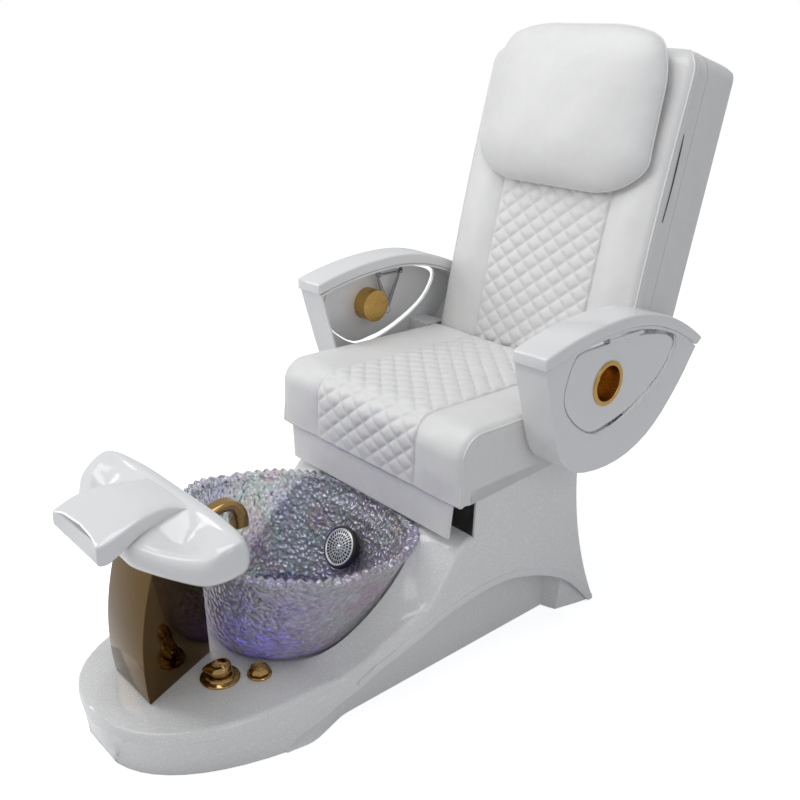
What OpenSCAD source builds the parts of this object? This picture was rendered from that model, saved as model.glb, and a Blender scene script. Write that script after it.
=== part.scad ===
// Pedicure spa chair: a moulded base with a crystal foot bowl and a tilting footrest,
// and a sliding seat with a reclining massage back and two armrests with fold-out trays.
// Frame: +Z up, the sitter looks along -Y, +X is the sitter's left, floor at z = 0.

/* [Base] */
// Width of the rounded front deck
deck_w = 470; // [440:1:490]
// Length of the rounded front of the deck
deck_round_l = 366; // [340:1:390]
// Height of the deck's top face
deck_h = 118; // [112:1:124]
// Height of the deck's rolled lip
lip_h = 26; // [18:1:32]
// Width of the footprint under the deck
sole_w = 520; // [500:1:530]
// Setback of the footprint's front behind the deck's front
sole_back = 18; // [10:1:26]
// Wall of the moulded shells
shell_t = 5; // [4:0.5:6]
// Width of the pedestal below the seat
pedestal_w = 568; // [560:1:574]
// Height of the pedestal
pedestal_h = 455; // [450:0.5:456]
// Height of the ledge between the bowl and the pedestal's well
ledge_h = 343; // [336:1:345]
// Height of the arch in the pedestal's side
arch_h = 210; // [190:1:225]
// How far the pedestal's rear foot reaches behind its top edge
foot_spread = 125; // [100:1:140]
// Width of the recessed skirt
skirt_w = 436; // [424:1:440]
// Diameter of a levelling foot
foot_d = 44; // [36:1:52]
// Side of the chassis's square tube
tube_w = 30; // [25:1:35]

/* [Bowl] */
// Diameter of the bowl's flat bottom
bowl_bottom_d = 300; // [280:1:310]
// Width of the bowl's rim
rim_w = 524; // [500:1:530]
// Length of the bowl's rim, front to back
rim_l = 444; // [430:1:446]
// Height of the rim above the deck, at its lowest
bowl_h = 225; // [215:1:226]
// Thickness of the glass
glass_t = 11; // [8:0.5:13]
// Height of the rim's raised side lobe
rim_lobe = 33; // [10:1:36]
// Diameter of the drain pipe
drain_d = 40; // [36:1:44]
// Lift of the drain stopper
stopper_lift = 12; // [6:1:14]
// Diameter of the water jet
jet_d = 84; // [76:1:90]
// Diameter of the jet's impeller
impeller_d = 46; // [36:1:54]

/* [Footrest and taps] */
// Width of the post's front face
post_w = 142; // [130:1:150]
// Height of the post above the floor
post_top = 408; // [400:1:410]
// Wall of the post's sheet
post_t = 3; // [2:0.5:4]
// Width of the footrest over both pads
footrest_w = 472; // [440:1:490]
// Depth of the footrest's pads
footrest_l = 172; // [160:1:178]
// Width of the band over the middle of the footrest
band_w = 194; // [170:1:200]
// Diameter of the footrest's pivot pin
pivot_d = 16; // [12:1:20]
// Diameter of the mixer's escutcheon
mixer_d = 80; // [72:1:84]
// Diameter of the mixer's knob
mixer_knob_d = 50; // [44:1:56]
// Diameter of the drain knob's escutcheon
drain_knob_d = 50; // [44:1:52]
// Diameter of the spout's column
spout_d = 26; // [22:1:30]
// Width of the flat spout
spout_w = 34; // [28:1:40]

/* [Seat] */
// Width of the seat cushion
seat_w = 606; // [596:1:610]
// Height of the seat's top above the floor
seat_top = 592; // [580:1:600]
// Depth of the seat cushion
seat_l = 504; // [490:1:505]
// Width of the quilted middle of the seat and back
quilt_w = 324; // [300:2:340]
// Width of one sewn diamond
diamond_w = 54; // [48:1:60]
// Puff of one sewn diamond
puff = 5; // [2:0.5:6]
// Gap between the bowl's rim and the apron's lower edge
apron_gap = 5.7; // [4:0.1:9]
// Width of the apron
apron_w = 534; // [500:1:540]
// Travel of the seat on its rails
seat_travel = 100; // [60:5:120]

/* [Back] */
// Width of the back
back_w = 588; // [570:1:592]
// Length of the back along its lean
back_l = 790; // [760:1:810]
// Thickness of the whole back
back_t = 195; // [180:1:205]
// Lean of the upright back, in degrees
lean = 12.5; // [10:0.5:16]
// Width of the head pillow
pillow_w = 504; // [460:2:520]
// Height of the head pillow
pillow_h = 368; // [340:2:380]
// Thickness of the head pillow
pillow_t = 66; // [54:1:76]
// Travel of the massage carriage
massage_travel = 300; // [200:10:340]
// Diameter of a massage roller
roller_d = 52; // [44:1:56]

/* [Armrests] */
// Gap between the seat cushion and an armrest
arm_gap = 8; // [7:0.5:14]
// Width of one armrest
arm_w = 82; // [76:1:84]
// Height of the armrest's highest point
arm_top = 795; // [780:1:805]
// Height of the armrest's cap
cap_h = 28; // [24:1:32]
// Thickness of the fold-out tray
tray_t = 10; // [8:1:12]
// Diameter of the cup holder's body
cup_d = 84; // [78:1:88]
// Depth of the cup holder
cup_depth = 50; // [36:1:56]
// Diameter of the armrest's pivot pin
arm_pin_d = 20; // [16:1:24]

/* [Hidden] */
$fn = 48;
fit = 0.05;               // radial running clearance of a pin in its bore
gap = 0.3;                // clearance between faces that only touch
eps = 0.01;

white = [0.93, 0.93, 0.92];
leather = [0.90, 0.90, 0.89];
gold = [0.55, 0.42, 0.20];
steel = [0.55, 0.56, 0.58];
dark = [0.13, 0.13, 0.14];
crystal = [0.72, 0.74, 0.86, 0.5];

// Base
deck_y = -426;                                   // where the deck's rounded front begins
deck_power = 2.39;                               // squareness of the deck's front
flare_l = 236;                                   // length over which deck width grows to pedestal width
lip_z = deck_h - lip_h;
sole_y = -212;
sole_l = deck_round_l - deck_y - sole_back + sole_y;
sole_power = 2.265;
sole_end = -447;                                 // where the footprint stops following its curve
well_y0 = -52;                                   // front edge of the pedestal's side walls
pedestal_y1 = 285;                               // rear edge of the pedestal's top
ramp_y0 = deck_y;
ramp_y1 = well_y0 - 26;
base_y1 = pedestal_y1 + foot_spread + 2;
lip_r = 6;
shoulder_w = 90;                                 // width of the slope between the side and the bowl's pocket
bowl_y = -346;
pocket_gap = 5;                                  // room between the bowl and its pocket
skirt_y1 = 290;
frame_x = 150;
frame_y = [-600, -130, 240];
rail_h = 16;
rail_top = pedestal_h - 13;
rail_z = rail_top - rail_h;
frame_top = rail_z;

// Bowl
bowl_z = deck_h + 2;
bowl_rise = bowl_h + 5;
rim_y = -303;
bowl_n = 48;
floor_z = bowl_z + glass_t;

// Footrest
post_y = -711;                                   // front face at its fullest
post_apex_y = bowl_y - bowl_bottom_d / 2 - 33;
footrest_y = -628;
footrest_z = 434;                                // underside of the pads
pivot_z = post_top + 15;
pad_rise = 64;
band_rise = 27;                                  // height of the band above the pads' middle

// Seat
plate_z = pedestal_h + 1.5;
plate_t = 4;
pan_z = plate_z + plate_t;
pan_t = 5.2;
seat_z = pan_z + pan_t + gap;
seat_y0 = -120;
seat_y1 = seat_y0 + seat_l;
seat_front_z = pedestal_h - 18;
front_roll_r = 56;
apron_h = seat_front_z - gap - bowl_z - bowl_h - apron_gap;
apron_t = 8;
carriage_w = 480;

// Back
back_y = seat_y1 + 4;
back_z = pedestal_h + 90;
cushion_t = 55;
cover_r = 42;
hinge_in = 60;                                   // hinge behind the back's front face
hinge_low = -36;                                 // hinge below the back's lower edge
hinge_y = back_y + hinge_in * cos(lean) + hinge_low * sin(lean);
hinge_z = back_z - hinge_in * sin(lean) + hinge_low * cos(lean);
hinge_x = 232;
hinge_pin_d = 16;
back_crown = 9;
pillow_mid = 640;
pillow_y = -0.9 * back_crown - 1.4 * puff - gap;
rail_x = 120;
rail_in = 132;
roller_in = 87;
rail_d = 16;
carriage_z0 = 190;

// Armrests
arm_x0 = seat_w / 2 + arm_gap;
arm_x1 = arm_x0 + arm_w;
arm_peak_y = 260;
arm_y0 = 0;
arm_y1 = 559;
arm_wall = 5;
window_gap = 16;
window_top = 7;                                  // web of the panel between the window and the cap
tray_axis = [arm_x1, arm_top - 43];
stay_axis = [arm_x1 - 28, tray_axis[1] - 18];
hinge_span = [192, 318];
stay_span = [232, 311];
hinge_plate_z = arm_top - cap_h - arm_wall - 4.3;
cup_at = [209, 659];
arm_pivot = [400, pedestal_h + 105];
arm_boss = 60;
bracket_x0 = seat_w / 2 + 1;
bracket_x1 = arm_x0 - 1.5;

// Puts the middle of the chair's length on the origin
mid_shift = 21;
module placed() {
    translate([0, mid_shift, 0]) children();
}

function smooth(t) = let (u = max(0, min(1, t))) u * u * (3 - 2 * u);
function fill(n, v) = [for (i = [1:n]) v];

// Closed curve through hand-placed corners
function spline(p, n = 4) = let (m = len(p)) [for (i = [0:m - 1], k = [0:n - 1])
    let (a = p[(i + m - 1) % m], b = p[i], c = p[(i + 1) % m], d = p[(i + 2) % m], t = k / n)
    0.5 * (2 * b + (c - a) * t + (2 * a - 5 * b + 4 * c - d) * t * t + (3 * b - a - 3 * c + d) * t * t * t)];

// Open curve through hand-placed points
function curve(p, n = 3) = let (m = len(p)) concat([for (i = [0:m - 2], k = [0:n - 1])
    let (a = p[max(0, i - 1)], b = p[i], c = p[i + 1], d = p[min(m - 1, i + 2)], t = k / n)
    0.5 * (2 * b + (c - a) * t + (2 * a - 5 * b + 4 * c - d) * t * t + (3 * b - a - 3 * c + d) * t * t * t)],
    [p[m - 1]]);

// Counter-clockwise outline moved inwards by d
function inset(p, d) = let (m = len(p)) [for (i = [0:m - 1])
    let (e = p[(i + 1) % m] - p[(i + m - 1) % m], l = norm(e)) p[i] + d * [-e[1], e[0]] / l];

function round_rect(w, l, r, n = 6) = [for (q = [0:3], i = [0:n])
    let (a = 90 * q + 90 * i / n, sx = (q == 0 || q == 3) ? 1 : -1, sy = q < 2 ? 1 : -1)
    [sx * (w / 2 - r) + r * cos(a), sy * (l / 2 - r) + r * sin(a)]];

function super_ring(a, b, power, n) = [for (i = [0:n - 1]) let (t = 360 * i / n)
    [a * sign(cos(t)) * pow(abs(cos(t)), 2 / power), b * sign(sin(t)) * pow(abs(sin(t)), 2 / power)]];

// Solid through a stack of rings that each hold the same number of points
module loft(rings, flip = false) {
    m = len(rings[0]);
    last = len(rings) - 1;
    side = [for (i = [0:last - 1], j = [0:m - 1])
        let (a = i * m + j, b = i * m + (j + 1) % m, c = b + m, d = a + m) each [[a, d, c], [a, c, b]]];
    caps = [[for (j = [0:m - 1]) j], [for (j = [m - 1:-1:0]) last * m + j]];
    faces = concat(caps, side);
    polyhedron([for (r = rings) each r], flip ? [for (f = faces) [for (k = [len(f) - 1:-1:0]) f[k]]] : faces, 6);
}

// Wall through rings that close on themselves
module loop_loft(rings) {
    m = len(rings[0]);
    n = len(rings);
    side = [for (i = [0:n - 1], j = [0:m - 1])
        let (a = i * m + j, b = i * m + (j + 1) % m, c = ((i + 1) % n) * m + (j + 1) % m, d = ((i + 1) % n) * m + j)
        each [[a, d, c], [a, c, b]]];
    polyhedron([for (r = rings) each r], side, 6);
}

// Outline given as [y, z], extruded from x = from over a length
module along_x(from, length) {
    translate([from, 0, 0]) rotate([90, 0, 90]) linear_extrude(length) children();
}

module both_sides() {
    children();
    mirror([1, 0, 0]) children();
}

// ---------------------------------------------------------------- base

// Lower edge of the side wall: it rises from the floor behind the deck and comes down at the rear foot
arch_side = curve([[-500, -2], [-475, 0.25 * arch_h], [-413, 0.37 * arch_h], [-338, 0.52 * arch_h],
    [-280, 0.73 * arch_h], [-212, 0.9 * arch_h], [-130, 0.98 * arch_h], [0, arch_h], [100, 0.9 * arch_h],
    [240, 0.6 * arch_h], [pedestal_y1 + foot_spread - 15, -2]]);
function arch_z(y) = lookup(y, arch_side);

function deck_half(y, t = 0) = y <= deck_y
    ? (deck_w / 2 - t) * pow(max(0, 1 - pow((deck_y - y) / (deck_round_l - t), deck_power)), 1 / deck_power)
    : deck_w / 2 - t + (pedestal_w - deck_w) / 2 * smooth((y - deck_y) / flare_l);
function sole_curve(y, t) =
    (sole_w / 2 - t) * pow(max(0, 1 - pow((sole_y - y) / (sole_l - t), sole_power)), 1 / sole_power);
function sole_half(y, t = 0) = y <= sole_end ? max(6, sole_curve(y, t))
    : max(sole_curve(sole_end, t), deck_half(y, t));
function edge_z(y) = let (side = max(deck_h - 4, arch_z(y) + 20))
    side + (ledge_h - side) * smooth((y + 190) / 130);
function crown_z(y) = deck_h + (ledge_h - deck_h) * smooth((y - ramp_y0) / (ramp_y1 - ramp_y0));
function top_z(x, y) = let (t = smooth((deck_half(y) - lip_r - abs(x)) / shoulder_w))
    edge_z(y) + (crown_z(y) - edge_z(y)) * t;

// Section of the base across the chair at y, drawn in by t on its top and sides
function base_section(y, t, high) = let (w = deck_half(y, t), a = w - lip_r, toe = sole_y - sole_l + t,
    low = y < toe ? lip_z * (toe - y) / sole_back : t > 0 ? -1 : 0,
    e = high ? pedestal_h + (t > 0 ? 10 : 0) : edge_z(y) - t,
    half = [[sole_half(y, t), low], [w, lip_z], [w, e - lip_r], [w - 2, e - 2], [a, e],
        for (f = [0.9, 0.78, 0.64, 0.42, 0]) [a * f, high ? e : top_z(a * f, y) - t]])
    concat([for (p = half) [-p[0], y, p[1]]], [for (i = [len(half) - 2:-1:0]) [half[i][0], y, half[i][1]]]);

front_angles = [3, 9, 16, 24, 33, 43, 54, 66, 78];
function front_stations(t) = concat(
    [for (a = front_angles) if (a < 20) deck_y - (deck_round_l - t) * pow(cos(a), 2 / deck_power)],
    [sole_y - sole_l + t + 0.5],
    [for (a = front_angles) if (a > 20) deck_y - (deck_round_l - t) * pow(cos(a), 2 / deck_power)]);
mid_stations = [for (y = [deck_y:26:well_y0 - 20]) y];
rear_stations = [for (y = [0:64:base_y1 - 20]) y];

// Everything behind the pedestal's swept rear wall, moved by shift
module rear_cut(shift) {
    along_x(-400, 800) polygon(concat([[base_y1 + 60, -40], [base_y1 + 60, pedestal_h + 60],
        [pedestal_y1 + shift, pedestal_h + 60]],
        [for (i = [0:10]) let (z = pedestal_h * (1 - i / 10))
            [pedestal_y1 + shift + foot_spread * pow(1 - z / pedestal_h, 2), z]],
        [[pedestal_y1 + shift + foot_spread, -40]]));
}

module base_body(t) {
    step = t > 0 ? -1.5 : 0;
    difference() {
        loft(concat([for (y = concat(front_stations(t), mid_stations, [well_y0 + step - 1])) base_section(y, t, false)],
            [for (y = concat([well_y0 + step], rear_stations, [base_y1 + 3 * t])) base_section(y, t, true)]));
        rear_cut(-t);
    }
}

// The bowl's pocket in the base, with extra room r
module bowl_pocket(r) {
    loft([for (h = [0, 26, 76, 140, ledge_h - deck_h, ledge_h + 90 - deck_h])
        [for (p = bowl_ring(deck_h + h, -pocket_gap - r, 0, 32)) p - [0, 0, r]]]);
}

module under_arch() {
    along_x(skirt_w / 2, 200) polygon(concat(arch_side, [[arch_side[len(arch_side) - 1][0], -60], [arch_side[0][0], -60]]));
}

module base_shell() {
    color(white) difference() {
        base_body(0);
        difference() {
            base_body(shell_t);
            bowl_pocket(shell_t);
        }
        bowl_pocket(0);
        both_sides() under_arch();
        at_motor() translate([0, 0, -2]) cylinder(h = 50, d = motor_d + 2 * gap);
        translate([0, bowl_y, deck_h - 30]) cylinder(h = 60, d = drain_d + 2 * fit);
        for (p = [mixer_at, drain_knob_at, spout_at])
            translate([p[0], p[1], deck_h - 30]) cylinder(h = 60, d = stem_d + 2 * fit);
        translate([-panel_w / 2, pedestal_y1 - 30, panel_z]) cube([panel_w, 160, panel_h]);
    }
}
mixer_at = [84, -558];
drain_knob_at = [125, bowl_y - bowl_bottom_d / 2 + 4];
spout_at = [-50, -563];
stem_d = 22;
panel_w = 300;
panel_h = 170;
panel_z = 150;
panel_lap = 14;
panel_t = 3;

// Recessed skirt between the arches: two walls that curve inwards from the deck, and a rear wall
skirt_line = concat([[skirt_w / 2 + 7.7, -478], [skirt_w / 2 + 7.7, -450]],
    curve([[skirt_w / 2 + 7.2, -425], [skirt_w / 2 + 4, -375], [skirt_w / 2 + 1, -340], [skirt_w / 2, -310]], 3),
    [[skirt_w / 2, skirt_y1]]);
module base_skirt() {
    half = concat(skirt_line, [[0, skirt_y1], [0, skirt_y1 - shell_t], [skirt_w / 2 - shell_t, skirt_y1 - shell_t]],
        [for (i = [len(skirt_line) - 2:-1:0]) skirt_line[i] - [shell_t, 0]]);
    color(white) both_sides() intersection() {
        linear_extrude(arch_h + 8) polygon(half);
        along_x(-1, 400) polygon([[-490, 0], [skirt_y1 + 5, 0], [skirt_y1 + 5, arch_h + 6], [-150, arch_h + 6],
            [-200, 0.97 * arch_h], [-287, 0.79 * arch_h], [-338, 0.58 * arch_h], [-385, deck_h - 15], [-490, deck_h - 15]]);
    }
}

module square_tube(a, b) {
    s = tube_w / 2;
    translate([min(a[0], b[0]) - s, min(a[1], b[1]) - s, min(a[2], b[2]) - s])
        cube([abs(a[0] - b[0]) + tube_w, abs(a[1] - b[1]) + tube_w, abs(a[2] - b[2]) + tube_w]);
}

module base_frame() {
    z0 = 18 + tube_w / 2;
    z1 = frame_top - tube_w / 2;
    color(dark) {
        both_sides() {
            square_tube([frame_x, frame_y[0], z0], [frame_x, frame_y[2], z0]);
            for (y = [-10, frame_y[2]]) square_tube([frame_x, y, z0], [frame_x, y, z1]);
            square_tube([frame_x, -10, z1], [frame_x, frame_y[2], z1]);
        }
        both_sides() {
            translate([frame_x, 100, frame_top - tube_w]) cube([pedestal_w / 2 - shell_t - gap - frame_x, tube_w, tube_w]);
            translate([80, frame_y[2], 18]) cube([40, skirt_y1 - shell_t - gap - frame_y[2], 4]);
        }
        for (y = frame_y) square_tube([-frame_x, y, z0], [frame_x, y, z0]);
        for (y = [-10, frame_y[2]]) square_tube([-frame_x, y, z1], [frame_x, y, z1]);
    }
}

module levelling_feet() {
    color(dark) both_sides() for (y = frame_y) translate([frame_x, y, 0]) {
        cylinder(h = 8, d = foot_d);
        cylinder(h = 18, d = 10);
    }
}

module rear_access_panel() {
    color(white) difference() {
        translate([-panel_w / 2 - panel_lap, pedestal_y1 - 30, panel_z - panel_lap])
            cube([panel_w + 2 * panel_lap, 160, panel_h + 2 * panel_lap]);
        difference() {
            translate([-300, pedestal_y1 - 60, 0]) cube([600, 300, pedestal_h]);
            rear_cut(0);
        }
        rear_cut(panel_t);
        panel_screw_places() translate([0, 0, -30]) cylinder(h = 60, d = 5 + 2 * fit);
    }
}
function rear_wall_y(z) = pedestal_y1 + foot_spread * pow(1 - z / pedestal_h, 2);

// Runs its children at each panel screw, with +Z out of the rear wall
module panel_screw_places() {
    for (x = [-panel_w / 2 - panel_lap / 2, panel_w / 2 + panel_lap / 2], z = [panel_z + 12, panel_z + panel_h - 12])
        translate([x, rear_wall_y(z) + panel_t + 0.6, z]) rotate([-90 + 17 * (1 - z / pedestal_h) / 0.5, 0, 0]) children();
}

module access_screws() {
    color(steel) panel_screw_places() {
        cylinder(h = 2.5, d = 9);
        translate([0, 0, 1.6 - panel_t]) cylinder(h = panel_t - 1, d = 5);
    }
}

// ---------------------------------------------------------------- bowl

function bowl_t(z) = max(0, min(1, (z - bowl_z) / bowl_rise));
function bowl_a(z, t) = bowl_bottom_d / 2 + (rim_w - bowl_bottom_d) / 2 * pow(bowl_t(z), 0.7) - t;
function bowl_b(z, t) = bowl_bottom_d / 2 + (rim_l - bowl_bottom_d) / 2 * pow(bowl_t(z), 0.55) - t;
function bowl_c(z) = bowl_y + (rim_y - bowl_y) * bowl_t(z);
function bowl_ring(z, t, wave = 0, n = bowl_n) = let (r = super_ring(bowl_a(z, t), bowl_b(z, t), 2 + 0.5 * bowl_t(z), n))
    [for (i = [0:n - 1]) [r[i][0], r[i][1] + bowl_c(z), z + wave * rim_wave(360 * i / n)]];
// Rim height over the lowest rim: a high lobe at the front right, a lower one at the front left, and beads
function turn(a, b) = (a - b + 540) % 360 - 180;
function lobe(a, at, width) = abs(turn(a, at)) < width ? pow(cos(90 * turn(a, at) / width), 2) : 0;
function rim_wave(a) = rim_lobe * lobe(a, 212, 64) + rim_lobe / 3 * lobe(a, 325, 54) + 0.8 * (1 + cos(a * 8));

module glass_bowl() {
    zs = [0, 0.02, 0.06, 0.14, 0.28, 0.45, 0.64, 0.82, 1];
    color(crystal) difference() {
        loft(concat([for (f = zs) bowl_ring(bowl_z + f * (bowl_h - 2), 0, f == 1 ? 1 : pow(f, 3))],
            [for (i = [len(zs) - 1:-1:1]) let (f = zs[i], z = max(floor_z, bowl_z + f * (bowl_h - 2)))
                if (bowl_z + f * (bowl_h - 2) > floor_z || i == 1) bowl_ring(z, glass_t, i == 1 ? 0 : f == 1 ? 1 : pow(f, 3))]));
        translate([0, bowl_y, bowl_z - 5]) cylinder(h = 40, d = drain_d + 2 * fit);
    }
}

module bowl_gasket() {
    color(dark) translate([0, bowl_y, deck_h]) difference() {
        cylinder(h = bowl_z - deck_h, d = bowl_bottom_d - 12, $fn = 96);
        translate([0, 0, -1]) cylinder(h = 10, d = bowl_bottom_d - 40, $fn = 96);
    }
}

module led_lamp() {
    color([0.5, 0.45, 0.9]) translate([0, bowl_y, deck_h]) difference() {
        cylinder(h = bowl_z - deck_h - gap, d = bowl_bottom_d - 60, $fn = 96);
        translate([0, 0, -1]) cylinder(h = 10, d = bowl_bottom_d - 120, $fn = 96);
    }
}

module drain_flange() {
    color(steel) translate([0, bowl_y, 0]) difference() {
        union() {
            translate([0, 0, floor_z]) cylinder(h = 2, d = drain_d + 22);
            translate([0, 0, deck_h - 40]) cylinder(h = floor_z - deck_h + 41, d = drain_d);
        }
        translate([0, 0, deck_h - 60]) cylinder(h = 100, d = drain_d - 6);
    }
}

module drain_tail() {
    z = deck_h - 48;
    color(dark) difference() {
        union() {
            translate([0, bowl_y, z - 10]) cylinder(h = 26, d = drain_d + 8);
            translate([0, bowl_y, z]) rotate([-90, 0, 0]) cylinder(h = 230, d = drain_d - 8);
        }
        translate([0, bowl_y, z + 1]) cylinder(h = 40, d = drain_d + 2 * fit);
        translate([0, bowl_y, z]) rotate([-90, 0, 0]) translate([0, 0, 1]) cylinder(h = 260, d = drain_d - 14);
    }
}

module drain_stopper() {
    color(steel) translate([0, bowl_y, floor_z + 2]) {
        cylinder(h = 4, d = drain_d + 12);
        translate([0, 0, -26]) cylinder(h = 27, d = 8);
    }
}

// Middle of the jet on the bowl's rear wall, and its tilt
jet_x = -18;
jet_z = deck_h + 96;
jet_tilt = 61;
motor_d = 60;
jet_y = bowl_c(jet_z) + bowl_b(jet_z, glass_t) - 3.2;
module at_jet() {
    translate([jet_x, jet_y, jet_z]) rotate([jet_tilt, 0, 0]) children();
}

module jet_housing() {
    color(dark) at_jet() {
        difference() {
            translate([0, 0, 6]) cylinder(h = 22, d = jet_d);
            translate([0, 0, 10]) cylinder(h = 30, d = jet_d - 8);
        }
        cylinder(h = 8, d = 36);
        translate([0, 0, 9]) cylinder(h = 7, d = 8);
    }
}

module jet_grille() {
    color(steel) at_jet() translate([0, 0, 26]) difference() {
        cylinder(h = 3, d = jet_d - 8 - 2 * gap);
        for (ring = [1:3], k = [0:5 + 6 * ring]) rotate([0, 0, (k + ring / 2) * 360 / (6 + 6 * ring)])
            translate([6 + ring * 8.5, 0, -1]) cylinder(h = 5, d = 2.6 + ring * 0.5, $fn = 14);
    }
}

module jet_impeller() {
    color(steel) at_jet() translate([0, 0, 12]) difference() {
        union() {
            cylinder(h = 9, d = 16);
            for (k = [0:4]) rotate([0, 0, 72 * k]) translate([0, -1.5, 0]) cube([impeller_d / 2, 3, 9]);
        }
        translate([0, 0, -1]) cylinder(h = 5.2, d = 8 + 2 * fit);
    }
}

module at_motor() {
    z = jet_z - 6;
    translate([jet_x, bowl_c(z) + bowl_b(z, 0) + 1.8, z]) rotate([jet_tilt - 180, 0, 0]) children();
}

module jet_motor() {
    color(dark) at_motor() {
        cylinder(h = 34, d = motor_d);
        cylinder(h = 44, d = 20);
    }
}

// ---------------------------------------------------------------- footrest and taps

function post_front(z) = post_y + 0.00088 * pow(z - 210, 2);
function post_ring(z, t) = [[-post_w / 2 + 2.2 * t, post_front(z) + t, z], [post_w / 2 - 2.2 * t, post_front(z) + t, z],
    [0, post_apex_y - 0.05 * (z - deck_h) - 2.4 * t, z]];

module footrest_post() {
    zs = [for (i = [0:7]) deck_h + (post_top - deck_h) * i / 7];
    inner = [for (i = [0:7]) let (z = i == 0 ? deck_h - 1 : i == 7 ? post_top - post_t : zs[i]) post_ring(z, post_t)];
    color(gold) difference() {
        loft([for (z = zs) post_ring(z, 0)]);
        loft(inner);
    }
}

module footrest_bracket() {
    y = footrest_y - 2;
    color(dark) {
        translate([-48, y - 36, post_top]) cube([96, 60, 4]);
        both_sides() translate([40, y - 15, post_top + 2]) cube([6, 30, pivot_z - post_top + 4]);
        translate([-46, y, pivot_z]) rotate([0, 90, 0]) cylinder(h = 92, d = pivot_d * 0.75);
    }
}

module footrest_block() {
    y = footrest_y - 2;
    color(dark) difference() {
        union() {
            translate([-38, y, pivot_z]) rotate([0, 90, 0]) cylinder(h = 76, d = pivot_d + 4);
            translate([-38, y - 13, pivot_z]) cube([76, 26, footrest_z - pivot_z]);
        }
        translate([-50, y, pivot_z]) rotate([0, 90, 0]) cylinder(h = 100, d = pivot_d * 0.75 + 2 * fit);
    }
}

module footrest_pads() {
    levels = [[0, 0.76], [0.1, 0.94], [0.28, 1], [0.52, 0.99], [0.74, 0.92], [0.9, 0.78], [0.985, 0.48], [1, 0.1]];
    color(white) loft([for (l = levels) [for (p = super_ring(footrest_w / 2 * l[1], footrest_l / 2 * l[1], 2.6, 44))
        let (u = abs(p[0]) / (footrest_w / 2)) [p[0], footrest_y + p[1] * (1 - 0.16 * u * u) + 10 * u * u,
            footrest_z + pad_rise * l[0] * (1 - 0.2 * u * u)]]]);
}

// Tongue that lies over the middle of the pads and hangs over their front edge
module footrest_band() {
    top = footrest_z + pad_rise;
    rows = [[-786, 0.86, -4, -38], [-774, 0.97, 4, -40], [-752, 1, 16, -38], [-724, 0.97, 24, -22],
        [-700, 0.92, 27, 0.4], [-660, 0.82, 27, 0.4], [-620, 0.7, 25, 0.4], [-585, 0.58, 15, 0.4], [-562, 0.46, 6, 0.4]];
    color(white) loft([for (r = rows) let (w = band_w / 2 * r[1], z = top + r[2] * band_rise / 27, low = top + r[3])
        [[-w, r[0], low], [-w, r[0], z - 4], [-w * 0.9, r[0], z], [-w * 0.45, r[0], z + 1], [w * 0.45, r[0], z + 1],
            [w * 0.9, r[0], z], [w, r[0], z - 4], [w, r[0], low]]]);
}

module mixer_escutcheon() {
    color(gold) translate([mixer_at[0], mixer_at[1], deck_h]) difference() {
        union() {
            cylinder(h = 5, d = mixer_d);
            cylinder(h = 12, d = mixer_knob_d + 8);
            translate([0, 0, -shell_t - 20]) cylinder(h = shell_t + 21, d = stem_d);
        }
        translate([0, 0, 4]) cylinder(h = 20, d = 14 + 2 * fit);
    }
}

module mixer_knob() {
    color(gold) translate([mixer_at[0], mixer_at[1], deck_h]) {
        translate([0, 0, 4 + gap]) cylinder(h = 14, d = 14);
        translate([0, 0, 12 + gap]) cylinder(h = 12, d = mixer_knob_d);
        translate([0, 0, 24]) cylinder(h = 12, d1 = mixer_knob_d - 6, d2 = mixer_knob_d - 16, $fn = 64);
        translate([-6, 10, 24]) cube([12, mixer_knob_d / 2 - 4, 9]);
    }
}

module drain_knob_base() {
    color(gold) translate([drain_knob_at[0], drain_knob_at[1], deck_h]) difference() {
        union() {
            cylinder(h = 5, d = drain_knob_d);
            translate([0, 0, -shell_t - 20]) cylinder(h = shell_t + 21, d = stem_d);
        }
        translate([0, 0, -2]) cylinder(h = 20, d = 10 + 2 * fit);
    }
}

module drain_knob() {
    color(gold) translate([drain_knob_at[0], drain_knob_at[1], deck_h]) {
        translate([0, 0, -2 + gap]) cylinder(h = 12, d = 10);
        translate([0, 0, 5 + gap]) rotate([0, 0, 18]) linear_extrude(14)
            polygon([for (k = [0:15]) let (r = drain_knob_d / 2 - (k % 2 == 0 ? 4 : 7)) r * [cos(22.5 * k), sin(22.5 * k)]]);
        translate([0, 0, 19]) cylinder(h = 3, d = drain_knob_d - 22);
    }
}

spout_z = deck_h + 254;
module spout_column() {
    color(gold) translate([spout_at[0], spout_at[1], 0]) {
        translate([0, 0, deck_h]) cylinder(h = 6, d = spout_d + 14);
        translate([0, 0, deck_h]) cylinder(h = spout_z - deck_h - gap, d = spout_d);
        translate([0, 0, deck_h - shell_t - 20]) cylinder(h = shell_t + 22, d = stem_d);
        translate([0, 0, spout_z - 2]) cylinder(h = 14, d = 14);
    }
}

module spout() {
    side = [[-577, 0], [-549, 0], [-500, 20], [-462, 33], [-446, 26], [-440, -14], [-408, -12], [-398, 18],
        [-408, 40], [-436, 53], [-470, 54], [-520, 40], [-560, 24], [-577, 16]];
    color(gold) difference() {
        along_x(spout_at[0] - spout_w / 2, spout_w) polygon([for (p = side) [p[0], spout_z + p[1]]]);
        translate([spout_at[0], spout_at[1], spout_z - 2]) cylinder(h = 14.5, d = 14 + 2 * fit);
        translate([spout_at[0], -424, spout_z - 30]) cylinder(h = 30, d = 14);
    }
}

module control_box() {
    x = frame_x - tube_w / 2;
    color(dark) {
        translate([-90, 40, 18 + tube_w]) cube([180, 110, 70]);
        translate([-x, 84, 18 + tube_w / 2]) cube([2 * x, 24, tube_w / 2]);
    }
}

// ---------------------------------------------------------------- seat

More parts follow.
